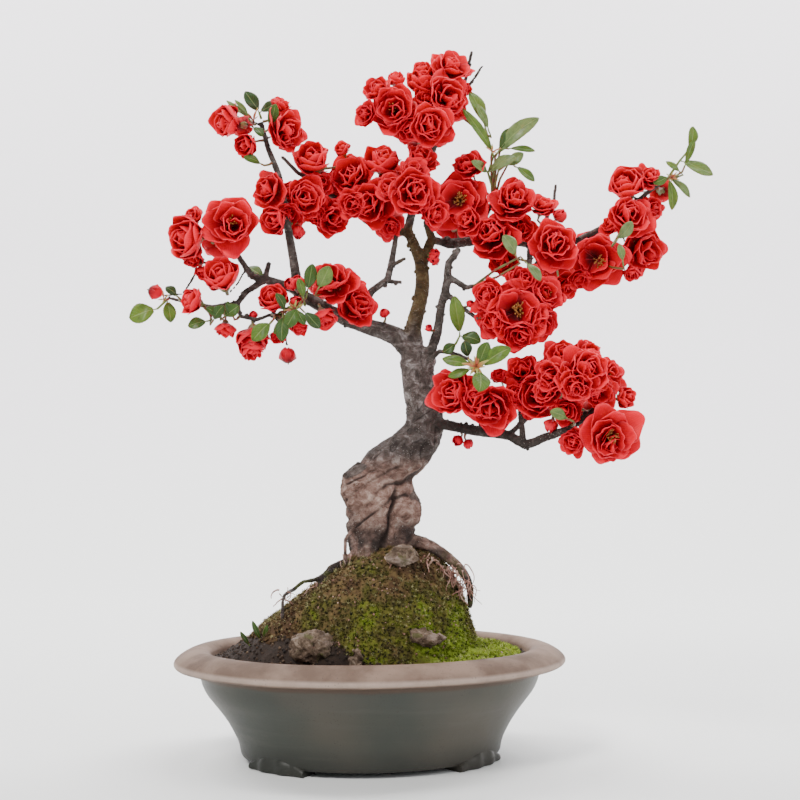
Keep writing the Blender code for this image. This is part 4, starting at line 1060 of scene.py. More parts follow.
def build_fine_roots():
    """Thin dry strands that hang from the exposed roots into the soil."""
    shape = Shape()
    rng = random.Random(41)
    for (x, y, z), (wide, deep), length, strands in ROOT_TANGLES:
        for _ in range(strands):
            dx, dy, dz = rng.uniform(-wide, wide), rng.uniform(-deep, deep), rng.uniform(-3, 3)
            spot = Vector((x + dx, y + dy, z + dz))
            way = Vector((rng.uniform(-1, 1), rng.uniform(-0.8, 0.4), rng.uniform(-1.4, 0.2))).normalized()
            path = [at(*spot)]
            for _ in range(rng.randint(5, 8)):
                bend = Vector((rng.uniform(-0.7, 0.7), rng.uniform(-0.6, 0.6), rng.uniform(-0.8, 0.25)))
                way = (way + bend).normalized()
                spot = spot + way * length / 6
                spot.z = max(spot.z, soil_height(spot.x, spot.y) + 1.0)
                path.append(at(*spot))
            thick = rng.uniform(0.22, 0.55) * MM
            radii = [thick * (1 - 0.6 * k / len(path)) for k in range(len(path))]
            shape.tube(path, radii, 5, rng.random())
    shape.piece("fine_roots", "root", slot="bark")


# ---- blossoms ----

def petal_rows(frame_of, length, half_width, foot, tilt, cup, ruffle, rng, rows=9, columns=9):
    """A petal's grid: it leans from tilt[0] to tilt[1] degrees off the axis, and curls in at its sides."""
    out, up = foot
    phase = rng.uniform(0, math.tau)
    waves = rng.uniform(1.3, 2.4)
    spine = []
    for i in range(rows):
        u = i / (rows - 1)
        spine.append((out, up))
        lean = math.radians(tilt[0] + (tilt[1] - tilt[0]) * (u + 0.5 / rows))
        out += length / (rows - 1) * math.sin(lean)
        up += length / (rows - 1) * math.cos(lean)
    grid = []
    for i in range(rows):
        u = i / (rows - 1)
        rise = math.sin(min(1.0, u / 0.62) * math.pi / 2)
        width = half_width * (0.2 + 0.8 * rise) * math.sqrt(1 - 0.5 * max(0.0, (u - 0.62) / 0.38) ** 2)
        row = []
        for j in range(columns):
            v = 2 * j / (columns - 1) - 1
            shorter = 0.32 * v * v * u * (rows - 1) * (1 - 0.2 * math.cos(3 * v + phase))
            k = max(0.0, i - shorter)
            low = int(min(rows - 2, k))
            share = k - low
            r = spine[low][0] + (spine[low + 1][0] - spine[low][0]) * share
            z = spine[low][1] + (spine[low + 1][1] - spine[low][1]) * share
            lean = math.radians(tilt[0] + (tilt[1] - tilt[0]) * k / (rows - 1))
            inward = cup * width * v * v
            inward += ruffle * (u ** 1.6) * (0.35 + abs(v)) * math.sin(waves * math.pi * v + phase + 2 * u)
            row.append(frame_of(r - inward * math.cos(lean), width * v, z + inward * math.sin(lean)))
        grid.append(row)
    return grid


# Whorls of petals, from outside in: how many, length, half-width, leans in degrees, cup, foot radius and foot
# height. Lengths are in blossom half-widths.
KINDS = {
    "rose": [(5, 1.16, 0.62, (92, 36), 0.3, 0.05, -0.5), (5, 1.06, 0.6, (74, 14), 0.34, 0.05, -0.44),
             (4, 0.92, 0.56, (54, -8), 0.38, 0.04, -0.38), (3, 0.72, 0.44, (32, -26), 0.44, 0.05, -0.32),
             (2, 0.55, 0.34, (12, -40), 0.5, 0.03, -0.25)],
    "open": [(5, 1.18, 0.64, (96, 46), 0.24, 0.06, -0.44), (5, 1.06, 0.6, (80, 24), 0.3, 0.06, -0.4),
             (4, 0.84, 0.52, (62, 0), 0.36, 0.06, -0.34), (3, 0.56, 0.36, (42, -14), 0.42, 0.08, -0.3)],
    "stamens": [(5, 1.18, 0.66, (98, 56), 0.2, 0.08, -0.38), (5, 1.02, 0.58, (84, 30), 0.28, 0.08, -0.35),
                (3, 0.78, 0.48, (66, 8), 0.34, 0.12, -0.3)],
    "cup": [(5, 1.3, 0.78, (74, -6), 0.36, 0.05, -0.68), (5, 1.2, 0.66, (60, -14), 0.4, 0.05, -0.6),
            (4, 1.0, 0.5, (40, -24), 0.46, 0.03, -0.52), (3, 0.8, 0.36, (20, -30), 0.5, 0.02, -0.45)],
    "bud": [(5, 2.05, 0.82, (84, -66), 0.42, 0.03, -0.92), (4, 1.8, 0.62, (68, -58), 0.5, 0.02, -0.8)],
}
# How far a petal's lean, twist and rim may wander
WANDER = {"rose": (19, 0.34, 0.06), "open": (18, 0.32, 0.055), "stamens": (16, 0.3, 0.05),
          "cup": (9, 0.12, 0.04), "bud": (3, 0.05, 0.012)}
# Blossoms that aren't plain full roses
SHAPES = {
    **dict.fromkeys(("left_high_1", "top_1", "crown_back"), "open"),
    **dict.fromkeys(("middle_1", "middle_5", "right_1", "low_5"), "stamens"),
    **dict.fromkeys(("left_top_1", "left_mid", "left_tip", "low_3", "limb_1", "limb_4", "leader_left_2",
                     "top_2", "right_2", "crown_left_1", "crown_left_4", "left_high_2"), "cup"),
}


def fullness(radius):
    """Small blossoms fill more than their solid; the largest just fill it."""
    return 1.32 - 0.54 * smoothstep(9 * MM, 20 * MM, radius)


def blossom_frame(node):
    """(middle, axis, how far along the axis its foot is, half-width) of a CAD blossom or bud's own mesh."""
    work = cad_copy(node)
    corners = np.array([tuple(vert.co) for vert in work.verts])
    mean = corners.mean(axis=0)
    total, weighted = 0.0, np.zeros(3)
    for face in work.faces:
        a, b, c = (np.array(vert.co) for vert in face.verts[:3])
        size = np.dot(a - mean, np.cross(b - mean, c - mean))
        total += size
        weighted += size * (a + b + c + mean) / 4
    work.free()
    axis = weighted / total - mean
    axis /= np.linalg.norm(axis)
    reach = (corners - mean) @ axis
    across = np.linalg.norm((corners - mean) - np.outer(reach, axis), axis=1).max()
    return Vector(mean), Vector(axis), float(reach.min()), float(across)


def turn_to(axis, spin):
    """The rotation that takes +Z to axis, with a spin about it."""
    swing = Vector((0, 0, 1)).rotation_difference(Vector(axis)).to_matrix().to_4x4()
    return swing @ Matrix.Rotation(spin, 4, "Z")


class Parts:
    """The small parts that every blossom shares one piece for."""

    def __init__(self):
        self.stamens, self.calyxes = Shape(), Shape()


def grow_blossom(shape, parts, centre, axis, radius, kind, seed):
    """One blossom or bud at centre, opening along axis, with radius in metres. Returns its foot."""
    rng = random.Random(seed)
    place = Matrix.Translation(centre) @ turn_to(axis, rng.uniform(0, math.tau))
    swing, wring, ruffle = WANDER[kind]
    fineness = 9 if radius > 9 * MM else 7
    drift = Vector((rng.uniform(-0.08, 0.08), rng.uniform(-0.08, 0.08), 0))
    for level, (count, length, width, tilt, cup, foot_out, foot_up) in enumerate(KINDS[kind]):
        offset = rng.uniform(0, math.tau)
        for petal in range(count):
            turn = offset + math.tau * (petal + rng.uniform(-0.2, 0.2)) / count
            size = rng.uniform(0.84, 1.1)
            swerve = rng.uniform(-swing, swing)
            lean = (tilt[0] + 0.4 * swerve, tilt[1] + swerve + rng.uniform(-swing, swing) * 0.6)
            twist = rng.uniform(-wring, wring)

            def frame_of(out, side, up, turn=turn, twist=twist, level=level):
                side, up = side * math.cos(twist) - up * math.sin(twist) * 0.3, up + side * math.sin(twist)
                return place @ ((around(out, side, up, turn) + drift * level) * radius)

            rows = petal_rows(frame_of, length * size, width * rng.uniform(0.86, 1.12), (foot_out, foot_up),
                              lean, cup * rng.uniform(0.6, 1.4), ruffle, rng, fineness, fineness)
            # each petal's shade is random, lowered a little for inner whorls: painted shade inside the
            # blossom
            shape.sheet(rows, radius * 0.028, min(1.0, max(0.0, rng.uniform(0.2, 0.9) - 0.07 * level)))
    if kind in ("stamens", "open"):
        add_stamens(parts.stamens, place, radius, rng, 34 if kind == "stamens" else 10)
    add_calyx(parts.calyxes, place, radius, rng, kind)
    return place @ (Vector((0, 0, -1.0)) * radius)


def add_stamens(shape, place, radius, rng, count):
    """Yellow filaments round the middle, each with its anther."""
    for _ in range(count):
        turn, lean = rng.uniform(0, math.tau), rng.uniform(0.05, 0.55)
        length = rng.uniform(0.3, 0.46) * radius
        way = Vector((math.cos(turn) * math.sin(lean), math.sin(turn) * math.sin(lean), math.cos(lean)))
        foot = Vector((0, 0, -0.34 * radius)) + Vector((math.cos(turn), math.sin(turn), 0)) * radius * 0.05
        tip = foot + way * length
        middle = foot.lerp(tip, 0.5) + Vector((0, 0, 0.04 * radius))
        shape.tube([place @ foot, place @ middle, place @ tip], [0.01 * radius] * 3, 4, rng.uniform(0.6, 1.0))
        anther = place @ Matrix.Translation(tip) @ Matrix.Rotation(rng.uniform(0, 3), 4, "X")
        half = 0.026 * radius
        profile = [(out * half, up * half) for out, up in ((0, -1.3), (0.8, -0.6), (0.8, 0.6), (0, 1.3))]
        shape.turn(profile, 6, anther, rng.uniform(0.0, 0.6))


def add_calyx(shape, place, radius, rng, kind):
    """The cup behind the petals, with five short sepals and its stalk."""
    foot = -0.92 if kind == "bud" else -0.78
    size = radius * (0.85 if kind == "bud" else 1.0)
    profile = ((0, foot - 0.34), (0.075, foot - 0.32), (0.08, foot - 0.15), (0.2, foot - 0.02),
               (0.27, foot + 0.13), (0.25, foot + 0.3), (0, foot + 0.34))
    shape.turn([(out * size, up * size) for out, up in profile], 12, place)
    for sepal in range(5):
        turn = math.tau * (sepal + rng.uniform(-0.1, 0.1)) / 5

        def frame_of(out, side, up, turn=turn):
            return place @ (around(out, side, up, turn) * size)

        rows = petal_rows(frame_of, 0.34, 0.13, (0.2, foot + 0.1), (50, 20), 0.3, 0.0, rng, rows=5, columns=5)
        shape.sheet(rows, size * 0.03, 0.5)


# Blossoms and buds between the solids' own, by part of the tree: place, half-width, facing and kind
EXTRA_BLOSSOMS = {
    "left": [
        ((-70, -14, 341), 7.0, (-0.5, -0.8, -0.4), "cup"), ((-51, -8, 366), 5.8, (0.5, -0.4, 0.8), "cup"),
        ((-79, -12, 361), 5.6, (-0.4, -0.6, 0.7), "cup"), ((-98, -24, 301), 6.0, (-0.3, -0.7, 0.6), "rose"),
        ((-97, -26, 276), 6.0, (-0.1, -0.7, -0.7), "cup"), ((-79, -30, 237), 5.8, (0.0, -0.3, -0.95), "cup"),
        ((-25, -28, 243), 7.4, (0.3, -0.5, -0.8), "cup"), ((-39, -34, 238), 5.4, (0.0, -0.4, -0.9), "cup"),
        ((-39, -30, 264), 3.8, (0.1, -0.5, 0.8), "bud"), ((-40, -34, 252), 3.6, (0.3, -0.7, 0.3), "bud"),
        ((-63, -40, 225), 6.6, (0.3, -0.4, -0.9), "cup"), ((-11, -14, 265), 6.6, (0.3, -0.7, 0.6), "rose"),
        ((-64, -28, 246), 2.4, (-0.2, -0.6, 0.6), "bud"), ((7, -4, 249), 2.8, (-0.2, -0.7, 0.7), "bud"),
        ((-47, -10, 345), 6.0, (0.6, -0.7, -0.2), "cup"), ((-91, -30, 268), 5.0, (-0.3, -0.5, -0.8), "cup"),
        ((-50, -36, 233), 4.6, (-0.2, -0.6, -0.7), "cup"), ((-43, -36, 262), 3.6, (-0.3, -0.8, 0.3), "bud"),
    ],
    "crown": [
        ((-46, -2, 318), 6.6, (0.1, -0.9, 0.4), "cup"), ((-29, 4, 323), 7.4, (0.2, -0.9, 0.3), "rose"),
        ((-46, -10, 301), 7.4, (0.1, -0.8, -0.6), "rose"), ((-41, -8, 293), 4.6, (0.0, -0.4, -0.9), "bud"),
        ((-31, 0, 306), 7.0, (0.3, -0.9, -0.2), "rose"), ((-17, 4, 343), 5.4, (-0.3, -0.7, 0.6), "cup"),
        ((10, 2, 298), 6.5, (0.0, -0.8, -0.6), "rose"), ((29, -2, 337), 9.4, (0.3, -0.8, 0.5), "rose"),
        ((12, 6, 325), 8.0, (0.2, -0.9, 0.4), "rose"), ((44, 2, 393), 5.6, (0.0, -0.5, 0.9), "cup"),
        ((29, 2, 388), 6.4, (-0.3, -0.6, 0.7), "cup"), ((53, 0, 376), 4.8, (0.7, -0.6, 0.2), "cup"),
        ((50, -4, 363), 5.6, (0.7, -0.6, -0.2), "rose"), ((31, -2, 369), 8.0, (0.0, -0.9, 0.3), "rose"),
        ((36, 1, 283), 3.4, (0.2, -0.9, 0.2), "bud"), ((35, 0, 279), 3.6, (-0.2, -0.9, -0.3), "bud"),
        ((2, -6, 375), 8.2, (-0.4, -0.8, 0.4), "rose"), ((21, -10, 352), 9.0, (0.1, -0.9, -0.3), "rose"),
        ((14, -4, 381), 6.0, (0.1, -0.6, 0.8), "cup"), ((-4, -8, 360), 7.0, (-0.6, -0.8, -0.1), "rose"),
        ((36, -16, 303), 8.6, (0.5, -0.8, -0.3), "rose"), ((11, -14, 318), 8.6, (-0.4, -0.8, 0.3), "rose"),
        ((24, -14, 328), 8.0, (0.1, -0.8, 0.6), "open"), ((-12, -4, 310), 8.0, (-0.1, -0.9, -0.2), "rose"),
    ],
    "middle": [
        ((55, 0, 334), 9.0, (-0.3, -0.8, 0.6), "rose"), ((97, 2, 311), 8.2, (0.2, -0.7, 0.7), "rose"),
        ((107, 2, 305), 4.4, (0.6, -0.5, 0.6), "bud"), ((83, 2, 322), 4.2, (0.2, -0.3, 0.9), "bud"),
        ((74, 4, 279), 9.0, (-0.5, -0.8, -0.2), "rose"), ((84, 4, 298), 9.0, (0.0, -1.0, 0.2), "rose"),
        ((110, 6, 264), 8.0, (0.2, -0.8, -0.5), "rose"), ((90, -6, 268), 8.5, (0.0, -0.9, 0.4), "rose"),
        ((32, -12, 240), 2.4, (0.1, -0.9, 0.4), "bud"), ((55, -16, 253), 2.5, (0.5, -0.7, 0.4), "bud"),
        ((94, -26, 241), 10.6, (0.4, -0.85, -0.3), "rose"), ((66, -26, 242), 9.8, (-0.5, -0.8, -0.3), "rose"),
        ((80, -30, 234), 9.8, (0.0, -0.8, -0.6), "rose"), ((97, -24, 258), 10.0, (0.4, -0.85, 0.3), "open"),
        ((64, -24, 257), 9.4, (-0.4, -0.85, 0.3), "rose"), ((54, -6, 300), 8.0, (-0.5, -0.8, 0.1), "rose"),
        ((84, -22, 266), 9.0, (0.1, -0.8, 0.5), "rose"),
    ],
    "right": [
        ((158, 6, 328), 7.4, (0.2, -0.8, 0.4), "rose"), ((161, 12, 311), 7.2, (0.4, -0.8, 0.2), "rose"),
        ((136, 10, 300), 6.4, (-0.4, -0.8, 0.3), "rose"), ((148, 4, 272), 5.8, (0.0, -0.7, -0.7), "cup"),
        ((118, 2, 268), 6.5, (0.1, -0.8, -0.5), "rose"),
    ],
    "low": [
        ((83, -22, 215), 10.0, (-0.3, -0.8, 0.5), "rose"), ((70, -26, 213), 5.6, (-0.3, -0.7, 0.6), "cup"),
        ((86, -30, 192), 5.4, (0.0, -0.6, -0.8), "cup"), ((97, -36, 185), 4.2, (-0.2, -0.3, -0.9), "bud"),
        ((138, -36, 201), 6.6, (0.7, -0.7, 0.2), "cup"), ((123, -28, 219), 8.0, (0.3, -0.8, 0.6), "rose"),
        ((98, -32, 217), 8.0, (-0.1, -0.8, 0.6), "rose"), ((56, -30, 209), 5.5, (0.0, -0.8, 0.5), "rose"),
        ((48, -12, 177), 3.4, (-0.5, -0.4, -0.6), "bud"), ((54, -13, 175), 3.2, (0.4, -0.4, -0.7), "bud"),
        ((78, -34, 203), 6.5, (0.0, -0.9, 0.1), "rose"), ((94, -46, 204), 8.6, (-0.5, -0.8, 0.0), "rose"),
        ((123, -46, 203), 9.6, (0.3, -0.8, -0.2), "rose"), ((130, -38, 213), 9.0, (0.6, -0.7, 0.3), "open"),
        ((101, -40, 224), 8.8, (-0.2, -0.8, 0.6), "rose"), ((117, -38, 226), 8.8, (0.3, -0.7, 0.7), "rose"),
        ((96, -50, 212), 9.4, (-0.5, -0.85, 0.1), "rose"), ((110, -54, 207), 9.4, (0.0, -0.9, -0.3), "rose"),
        ((105, -44, 193), 8.0, (-0.2, -0.9, -0.3), "rose"), ((128, -50, 174), 8.0, (0.4, -0.8, -0.4), "rose"),
        ((107, -50, 176), 7.6, (-0.5, -0.8, -0.3), "rose"), ((56, -36, 199), 7.6, (0.3, -0.9, 0.3), "rose"),
    ],
    "behind": [
        ((-86, -9, 289), 10.5, (-0.2, 1.0, 0.1), "rose"), ((-44, 5, 306), 9.0, (0.0, 1.0, 0.0), "rose"),
        ((-22, 26, 317), 10.5, (0.1, 1.0, 0.2), "rose"), ((-34, 18, 334), 8.6, (-0.2, 0.9, 0.4), "cup"),
        ((8, 27, 305), 10.5, (-0.1, 1.0, -0.1), "open"), ((12, 22, 328), 8.6, (0.0, 0.9, 0.4), "rose"),
        ((50, 33, 303), 11.0, (0.1, 1.0, 0.1), "open"), ((74, 34, 300), 9.6, (0.0, 1.0, 0.2), "rose"),
        ((88, 16, 258), 9.0, (0.0, 0.9, -0.3), "rose"), ((131, 30, 290), 10.5, (0.1, 1.0, -0.1), "rose"),
        ((152, 27, 308), 9.6, (0.2, 1.0, 0.1), "rose"), ((46, 20, 374), 8.6, (0.2, 1.0, 0.1), "rose"),
        ((28, 20, 347), 9.0, (-0.1, 1.0, 0.0), "cup"), ((88, 4, 203), 9.0, (0.0, 1.0, 0.1), "rose"),
        ((121, -18, 190), 8.6, (0.2, 0.9, -0.2), "rose"), ((-28, -2, 263), 8.0, (0.0, 1.0, 0.2), "cup"),
        ((-72, -14, 352), 6.6, (-0.4, 0.9, 0.1), "cup"),
        ((168, 22, 322), 6.6, (0.4, 0.9, 0.2), "rose"),
    ],
}


def add_stalk(shape, foot, axis, wood):
    """A thin bent stalk from behind a blossom or leaf to the nearest wood."""
    found = wood.find_nearest(foot)[0]
    reach = (found - foot).length
    bend = foot - axis * min(reach * 0.45, 7 * MM)
    path = [foot + axis * 0.6 * MM, foot.lerp(bend, 0.6), bend.lerp(found, 0.5), found]
    shape.tube(path, [0.55 * MM, 0.6 * MM, 0.7 * MM, 0.9 * MM], 6, 0.5)


def build_blossoms():
    """A blossom in place of each CAD one, and then those between them, each of these on its stalk."""
    parts = Parts()
    for node in sorted(frame["nodes"]):
        if not node.startswith(("blossom_", "bud_")):
            continue
        short = node.split("_", 1)[1]
        mean, axis, foot, across = blossom_frame(node)
        bud = node.startswith("bud_")
        radius = across / (0.72 if bud else 0.95)
        centre = mean + axis * (foot + radius)
        kind = "bud" if bud else SHAPES.get(short, "rose")
        shape = Shape()
        grow_blossom(shape, parts, centre, axis, radius * (1.15 if bud else fullness(radius)), kind, short)
        shape.piece(f"petals_{node}", "petal", (node,), "petal")
    wood = wood_surface()
    for part, blossoms in EXTRA_BLOSSOMS.items():
        shape = Shape()
        for number, (spot, half, facing, kind) in enumerate(blossoms):
            axis = Vector(facing).normalized()
            radius = half * MM * (1.24 if part == "left" else 1.12)
            foot = grow_blossom(shape, parts, at(*spot), axis, radius, kind, f"{part} {number}")
            add_stalk(parts.calyxes, foot, axis, wood)
        shape.piece(f"petals_between_{part}", "petal", slot="petal")
    parts.stamens.piece("stamens", "stamen", slot="petal")
    parts.calyxes.piece("calyxes", "calyx", slot="leaf")


# ---- leaves ----

# Each shoot: its stem's points, and its leaves as (foot on the stem, tip, width, shade of green 0 to 1)
SHOOTS = {
    "middle": ([(70, 8, 317), (66, 4, 329), (69, 2, 338), (64, 0, 355)],
               [(3, (56, -2, 374), 8, 0.8), (2, (52, -8, 363), 6, 0.75), (2, (94, -4, 359), 9, 0.95),
                (1, (80, -8, 336), 7, 1.0), (1, (57, -6, 334), 6, 0.95)]),
    "right_tip": ([(170, 12, 328), (176, 10, 337), (181, 8, 343)],
                  [(2, (183, 6, 356), 6, 0.7), (1, (194, 4, 329), 8, 0.85), (0, (172, 10, 309), 6, 0.75),
                   (0, (183, 13, 317), 5, 0.9)]),
    "left_tip": ([(-111, -28, 254), (-116, -29, 249)],
                 [(1, (-131, -31, 244), 11, 0.75), (0, (-108, -32, 242), 7, 0.7)]),
    "centre": ([(44, -15, 228), (47, -16, 231), (49, -16, 235)],
               [(2, (46, -25, 256), 9, 0.75), (2, (60, -22, 232), 8, 0.35), (1, (40, -19, 226), 6, 0.3)]),
    "left_top": ([(-62, -5, 358), (-63, -6, 361)],
                 [(1, (-70, -11, 372), 8, 0.15), (1, (-54, -3, 368), 6, 0.25)]),
}


def add_leaf(shape, foot, tip, width, shade, rng):
    """A leaf on a short stalk: widest past its middle, folded along its rib, with a finely toothed edge."""
    foot, tip = Vector(foot), Vector(tip)
    along = tip - foot
    length = along.length
    along.normalize()
    across = along.cross(Vector((0.25, -1, 0.3))).normalized()
    up = across.cross(along)
    rows, columns = 17, 9
    curl, roll, bend = rng.uniform(0.04, 0.12), rng.uniform(0.12, 0.3), rng.uniform(-0.05, 0.05)
    stalk = 0.14
    grid = []
    for i in range(rows):
        u = i / (rows - 1)
        share = stalk + (1 - stalk) * u
        body = math.sin(math.pi * min(1.0, 0.03 + 0.97 * u ** 1.2)) ** 0.62 if u < 1 else 0.0
        tooth = 1 + 0.035 * (i % 2)
        half = max(0.04 * width, width / 2 * body * tooth)
        lift = length * (0.09 * math.sin(math.pi * share) - curl * u * u)
        row = []
        for j in range(columns):
            v = 2 * j / (columns - 1) - 1
            fold = roll * half * (abs(v) - 0.35 * v * v) + 0.03 * width * math.sin(9 * u + 4 * v)
            middle = foot + along * (length * share) + across * (bend * length * math.sin(math.pi * u))
            row.append(middle + across * (half * v) + up * (lift + fold))
        grid.append([at(*point) for point in row])
    shape.sheet(grid, 0.22 * MM, shade)
    stem = []
    for k in range(4):
        lift = length * 0.09 * math.sin(math.pi * stalk * k / 3)
        stem.append(at(*(foot + along * (length * stalk * k / 3) + up * lift)))
    shape.tube(stem, [0.5 * MM, 0.42 * MM, 0.38 * MM, 0.3 * MM], 6, shade)


# Single leaves among the blossoms: foot, tip, width, shade of green 0 to 1
SINGLE_LEAVES = [
    ((-104, -36, 255), (-110, -38, 260), 5.0, 0.1), ((-88, -34, 242), (-98, -37, 239), 6.5, 0.45),
    ((-85, -35, 242), (-79, -38, 250), 6.0, 0.3), ((-79, -35, 244), (-71, -38, 250), 7.0, 0.4),
    ((-28, -38, 259), (-22, -44, 270), 8.5, 0.85), ((-34, -36, 258), (-31, -40, 272), 7.0, 0.4),
    ((-39, -38, 249), (-45, -42, 238), 7.5, 0.45), ((-53, -42, 241), (-62, -48, 231), 8.5, 0.65),
    ((-47, -38, 245), (-47, -43, 231), 7.5, 0.35), ((-36, -37, 247), (-27, -40, 238), 7.0, 0.2),
    ((-74, -34, 244), (-77, -38, 252), 5.0, 0.25), ((-80, -34, 243), (-88, -38, 249), 5.0, 0.35),
    ((-54, -38, 240), (-60, -42, 232), 5.0, 0.3), ((-46, -38, 243), (-51, -42, 235), 4.5, 0.55),
    ((-40, -37, 248), (-35, -41, 240), 5.0, 0.4), ((-36, -36, 254), (-38, -41, 264), 5.0, 0.6),
    ((-46, -38, 247), (-50, -43, 256), 5.0, 0.3), ((-66, -12, 352), (-60, -17, 346), 5.0, 0.3),
    ((79, -33, 277), (72, -37, 288), 8.0, 0.95), ((84, -33, 274), (92, -37, 264), 5.5, 1.0),
    ((72, 0, 341), (79, -3, 353), 8.5, 0.35), ((77, 0, 342), (92, -3, 341), 4.0, 0.5),
    ((75, 0, 332), (85, -4, 339), 6.5, 0.95), ((81, 0, 332), (92, -3, 324), 5.5, 0.6),
    ((66, -2, 352), (60, -6, 366), 5.0, 0.9), ((53, -33, 222), (51, -36, 231), 6.8, 0.1),
    ((58, -38, 218), (63, -41, 230), 7.5, 0.5), ((59, -38, 217), (75, -42, 227), 8.5, 0.7),
    ((58, -40, 215), (58, -52, 204), 10.0, 0.6), ((55, -37, 218), (39, -37, 222), 6.5, 0.65),
    ((55, -36, 216), (42, -36, 212), 5.0, 0.75), ((136, -16, 288), (144, -19, 298), 6.5, 1.0),
    ((139, -18, 276), (137, -21, 285), 4.8, 0.9), ((169, 6, 327), (160, 3, 323), 5.5, 0.5),
    ((178, 6, 333), (184, 4, 348), 4.5, 0.6), ((176, 8, 330), (168, 5, 336), 4.0, 0.8),
    ((104, -56, 189), (95, -60, 193), 6.5, 0.9), ((116, -34, 224), (123, -37, 228), 5.5, 0.85),
    ((-69, -12, 357), (-80, -16, 366), 3.0, 0.95), ((-68, -12, 356), (-75, -17, 366), 3.0, 0.9),
    ((-61, -12, 331), (-70, -18, 334), 5.0, 0.5), ((-57, -12, 352), (-53, -18, 363), 6.0, 0.45),
    ((-60, -24, 68), (-64, -26, 79), 3.0, 0.3), ((-58, -24, 68), (-56, -27, 77), 2.6, 0.45),
    ((-66, -22, 65), (-71, -24, 73), 2.6, 0.2), ((60, 30, 309), (66, 36, 322), 8.0, 0.5),
    ((20, 32, 312), (14, 38, 325), 7.5, 0.4), ((-60, -2, 268), (-70, 4, 276), 7.0, 0.5),
    ((100, 10, 209), (108, 16, 220), 7.5, 0.6),
]
# Tufts of narrow bracts at the foot of new leaves: middle, facing, how many, length
BRACTS = [((57, -38, 217), (0.0, -1.0, 0.35), 11, 7.5), ((-41, -36, 248), (-0.1, -1.0, 0.1), 8, 6.0),
          ((-66, -10, 356), (-0.3, -0.8, 0.5), 7, 6.5), ((68, -2, 340), (0.1, -0.8, 0.6), 6, 5.0),
          ((171, 8, 327), (0.2, -0.9, 0.2), 7, 4.5), ((-112, -32, 254), (-0.3, -0.9, 0.2), 5, 4.0)]


def add_bracts(shape, rng):
    """Narrow pointed bracts, splayed round a new shoot's foot."""
    for middle, facing, count, length in BRACTS:
        place = Matrix.Translation(at(*middle)) @ turn_to(Vector(facing).normalized(), 0)
        for bract in range(count):
            turn = math.tau * (bract + rng.random() * 0.7) / count

            def frame_of(out, side, up, turn=turn):
                return place @ (around(out, side, up, turn) * MM)

            long = length * rng.uniform(0.7, 1.2)
            lean = (rng.uniform(30, 60), rng.uniform(55, 95))
            rows = petal_rows(frame_of, long, long * 0.13, (0.4, 0.0), lean, 0.1, 0.0, rng, rows=6, columns=5)
            shape.sheet(rows, 0.16 * MM, rng.random())


def build_leaves():
    """The shoots that stand for the CAD ones, and then the single leaves and bracts with their stalks."""
    rng = random.Random(7)
    for name, (stem, leaves) in SHOOTS.items():
        shape = Shape()
        places = [at(*point) for point in stem]
        shape.tube(places, [0.75 * MM - 0.25 * MM * k / len(places) for k in range(len(places))], 8, 0.45)
        for foot, tip, width, shade in leaves:
            add_leaf(shape, stem[foot], tip, width, shade, rng)
        shape.piece(f"leaves_{name}", "leaf", (f"shoot_{name}",), "leaf")
    wood = wood_surface()
    loose, bracts, stalks = Shape(), Shape(), Shape()
    for foot, tip, width, shade in SINGLE_LEAVES:
        add_leaf(loose, foot, tip, width, shade, rng)
        if foot[2] > SOIL_LEVEL + MOUND_HEIGHT:
            add_stalk(stalks, at(*foot), (at(*tip) - at(*foot)).normalized(), wood)
    loose.piece("leaves_single", "leaf", slot="leaf")
    add_bracts(bracts, rng)
    bracts.piece("bracts", "bract", slot="leaf")
    for middle, facing, _, _ in BRACTS:
        add_stalk(stalks, at(*middle), Vector(facing).normalized(), wood)
    stalks.piece("leaf_stalks", "calyx", slot="leaf")


# ---- inner pieces ----

def paint_drainage():
    for side in ("left", "right"):
        for node, paint in ((f"drain_screen_{side}", "screen"), (f"screen_clip_{side}", "wire")):
            data = frame["nodes"][node].data
            data.materials.clear()
            data.materials.append(PAINTS[paint])


# ---- stage, light and camera ----

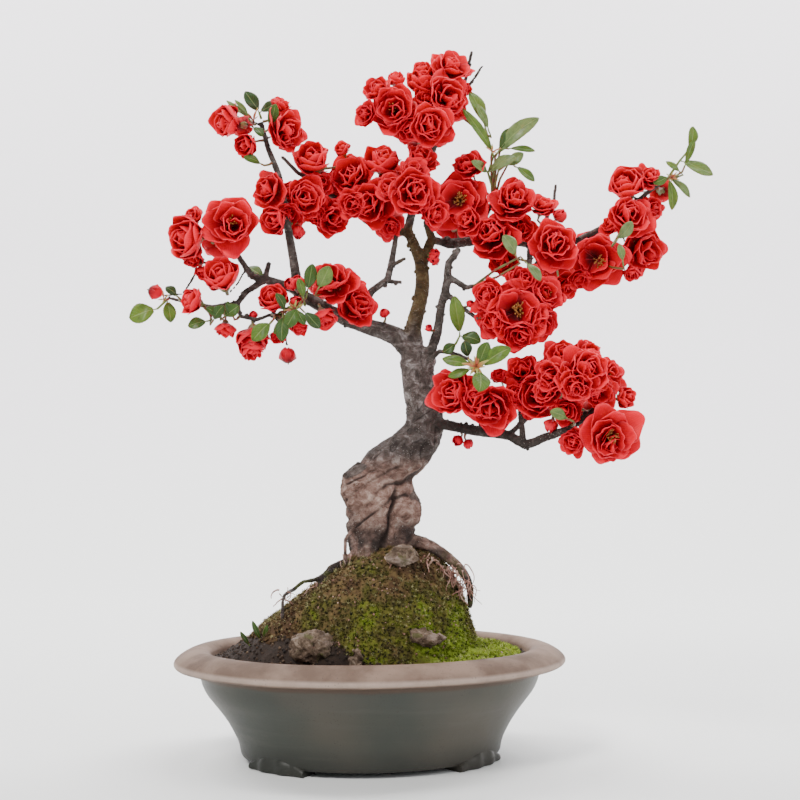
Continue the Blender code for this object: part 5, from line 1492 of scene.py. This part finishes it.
def build_stage():
    """A pale floor that sweeps up behind the object."""
    points, faces = [], []
    reach = 3.0
    profile = [(-2.5, 0.0), (0.9, 0.0)]
    profile += [(0.9 + 0.5 * math.sin(a), 0.5 - 0.5 * math.cos(a)) for a in np.linspace(0.1, math.pi / 2, 16)]
    profile.append((1.4, 3.2))
    for y, z in profile:
        points += [(-reach, y, z), (reach, y, z)]
    for i in range(len(profile) - 1):
        faces.append((2 * i, 2 * i + 1, 2 * i + 3, 2 * i + 2))
    mesh = bpy.data.meshes.new("sweep")
    mesh.from_pydata(points, [], faces)
    mesh.materials.append(PAINTS["backdrop"])
    mesh.shade_smooth()
    linked("sweep", mesh)


def add_light(name, place, target, size, power, colour):
    data = bpy.data.lights.new(name, "AREA")
    data.shape, data.size, data.energy, data.color = "DISK", size, power, colour
    lamp = linked(name, data)
    lamp.location = place
    lamp.rotation_euler = (Vector(target) - Vector(place)).to_track_quat("-Z", "Y").to_euler()


def build_lights():
    world = bpy.data.worlds.new("studio")
    world.use_nodes = True
    sky = world.node_tree.nodes["Background"]
    sky.inputs["Color"].default_value = (0.95, 0.95, 1.0, 1.0)
    sky.inputs["Strength"].default_value = 0.5
    bpy.context.scene.world = world
    aim = tuple(at(*LIGHTS_AIM))
    add_light("key", (-0.7, -1.1, 1.35), aim, 0.5, 27, (1.0, 0.98, 0.96))
    add_light("fill", (1.15, -0.9, 0.75), aim, 0.9, 10, (0.97, 0.98, 1.0))
    add_light("top", (0.15, 0.2, 1.6), aim, 0.8, 16, (1.0, 1.0, 1.0))
    add_light("backdrop_left", (-0.9, 0.45, 1.3), (-0.3, 1.4, 0.5), 0.9, 34, (1.0, 1.0, 1.0))
    add_light("backdrop_right", (0.9, 0.45, 1.3), (0.3, 1.4, 0.5), 0.9, 34, (1.0, 1.0, 1.0))


def build_camera():
    """Level with the tree's middle, a little right of the pot."""
    data = bpy.data.cameras.new("camera")
    data.sensor_width = 36.0
    data.lens = CAMERA_LENS
    camera = linked("camera", data)
    camera.location = at(*CAMERA_PLACE)
    camera.rotation_euler = (math.radians(CAMERA_PITCH), 0, 0)
    bpy.context.scene.camera = camera


build_camera()
build_pot()
soil = build_soil()
moss = build_moss()
build_ground_cover(soil, moss)
build_stones()
wood = build_wood()
scatter("twig_nubs", wood, grain_shape(1.15), "bark", "thin", 31, "bark",
        per_square_mm=0.011, smallest=0.5, largest=1.5, lean=0.4)
build_fine_roots()
build_blossoms()
build_leaves()
paint_drainage()
build_stage()
build_lights()
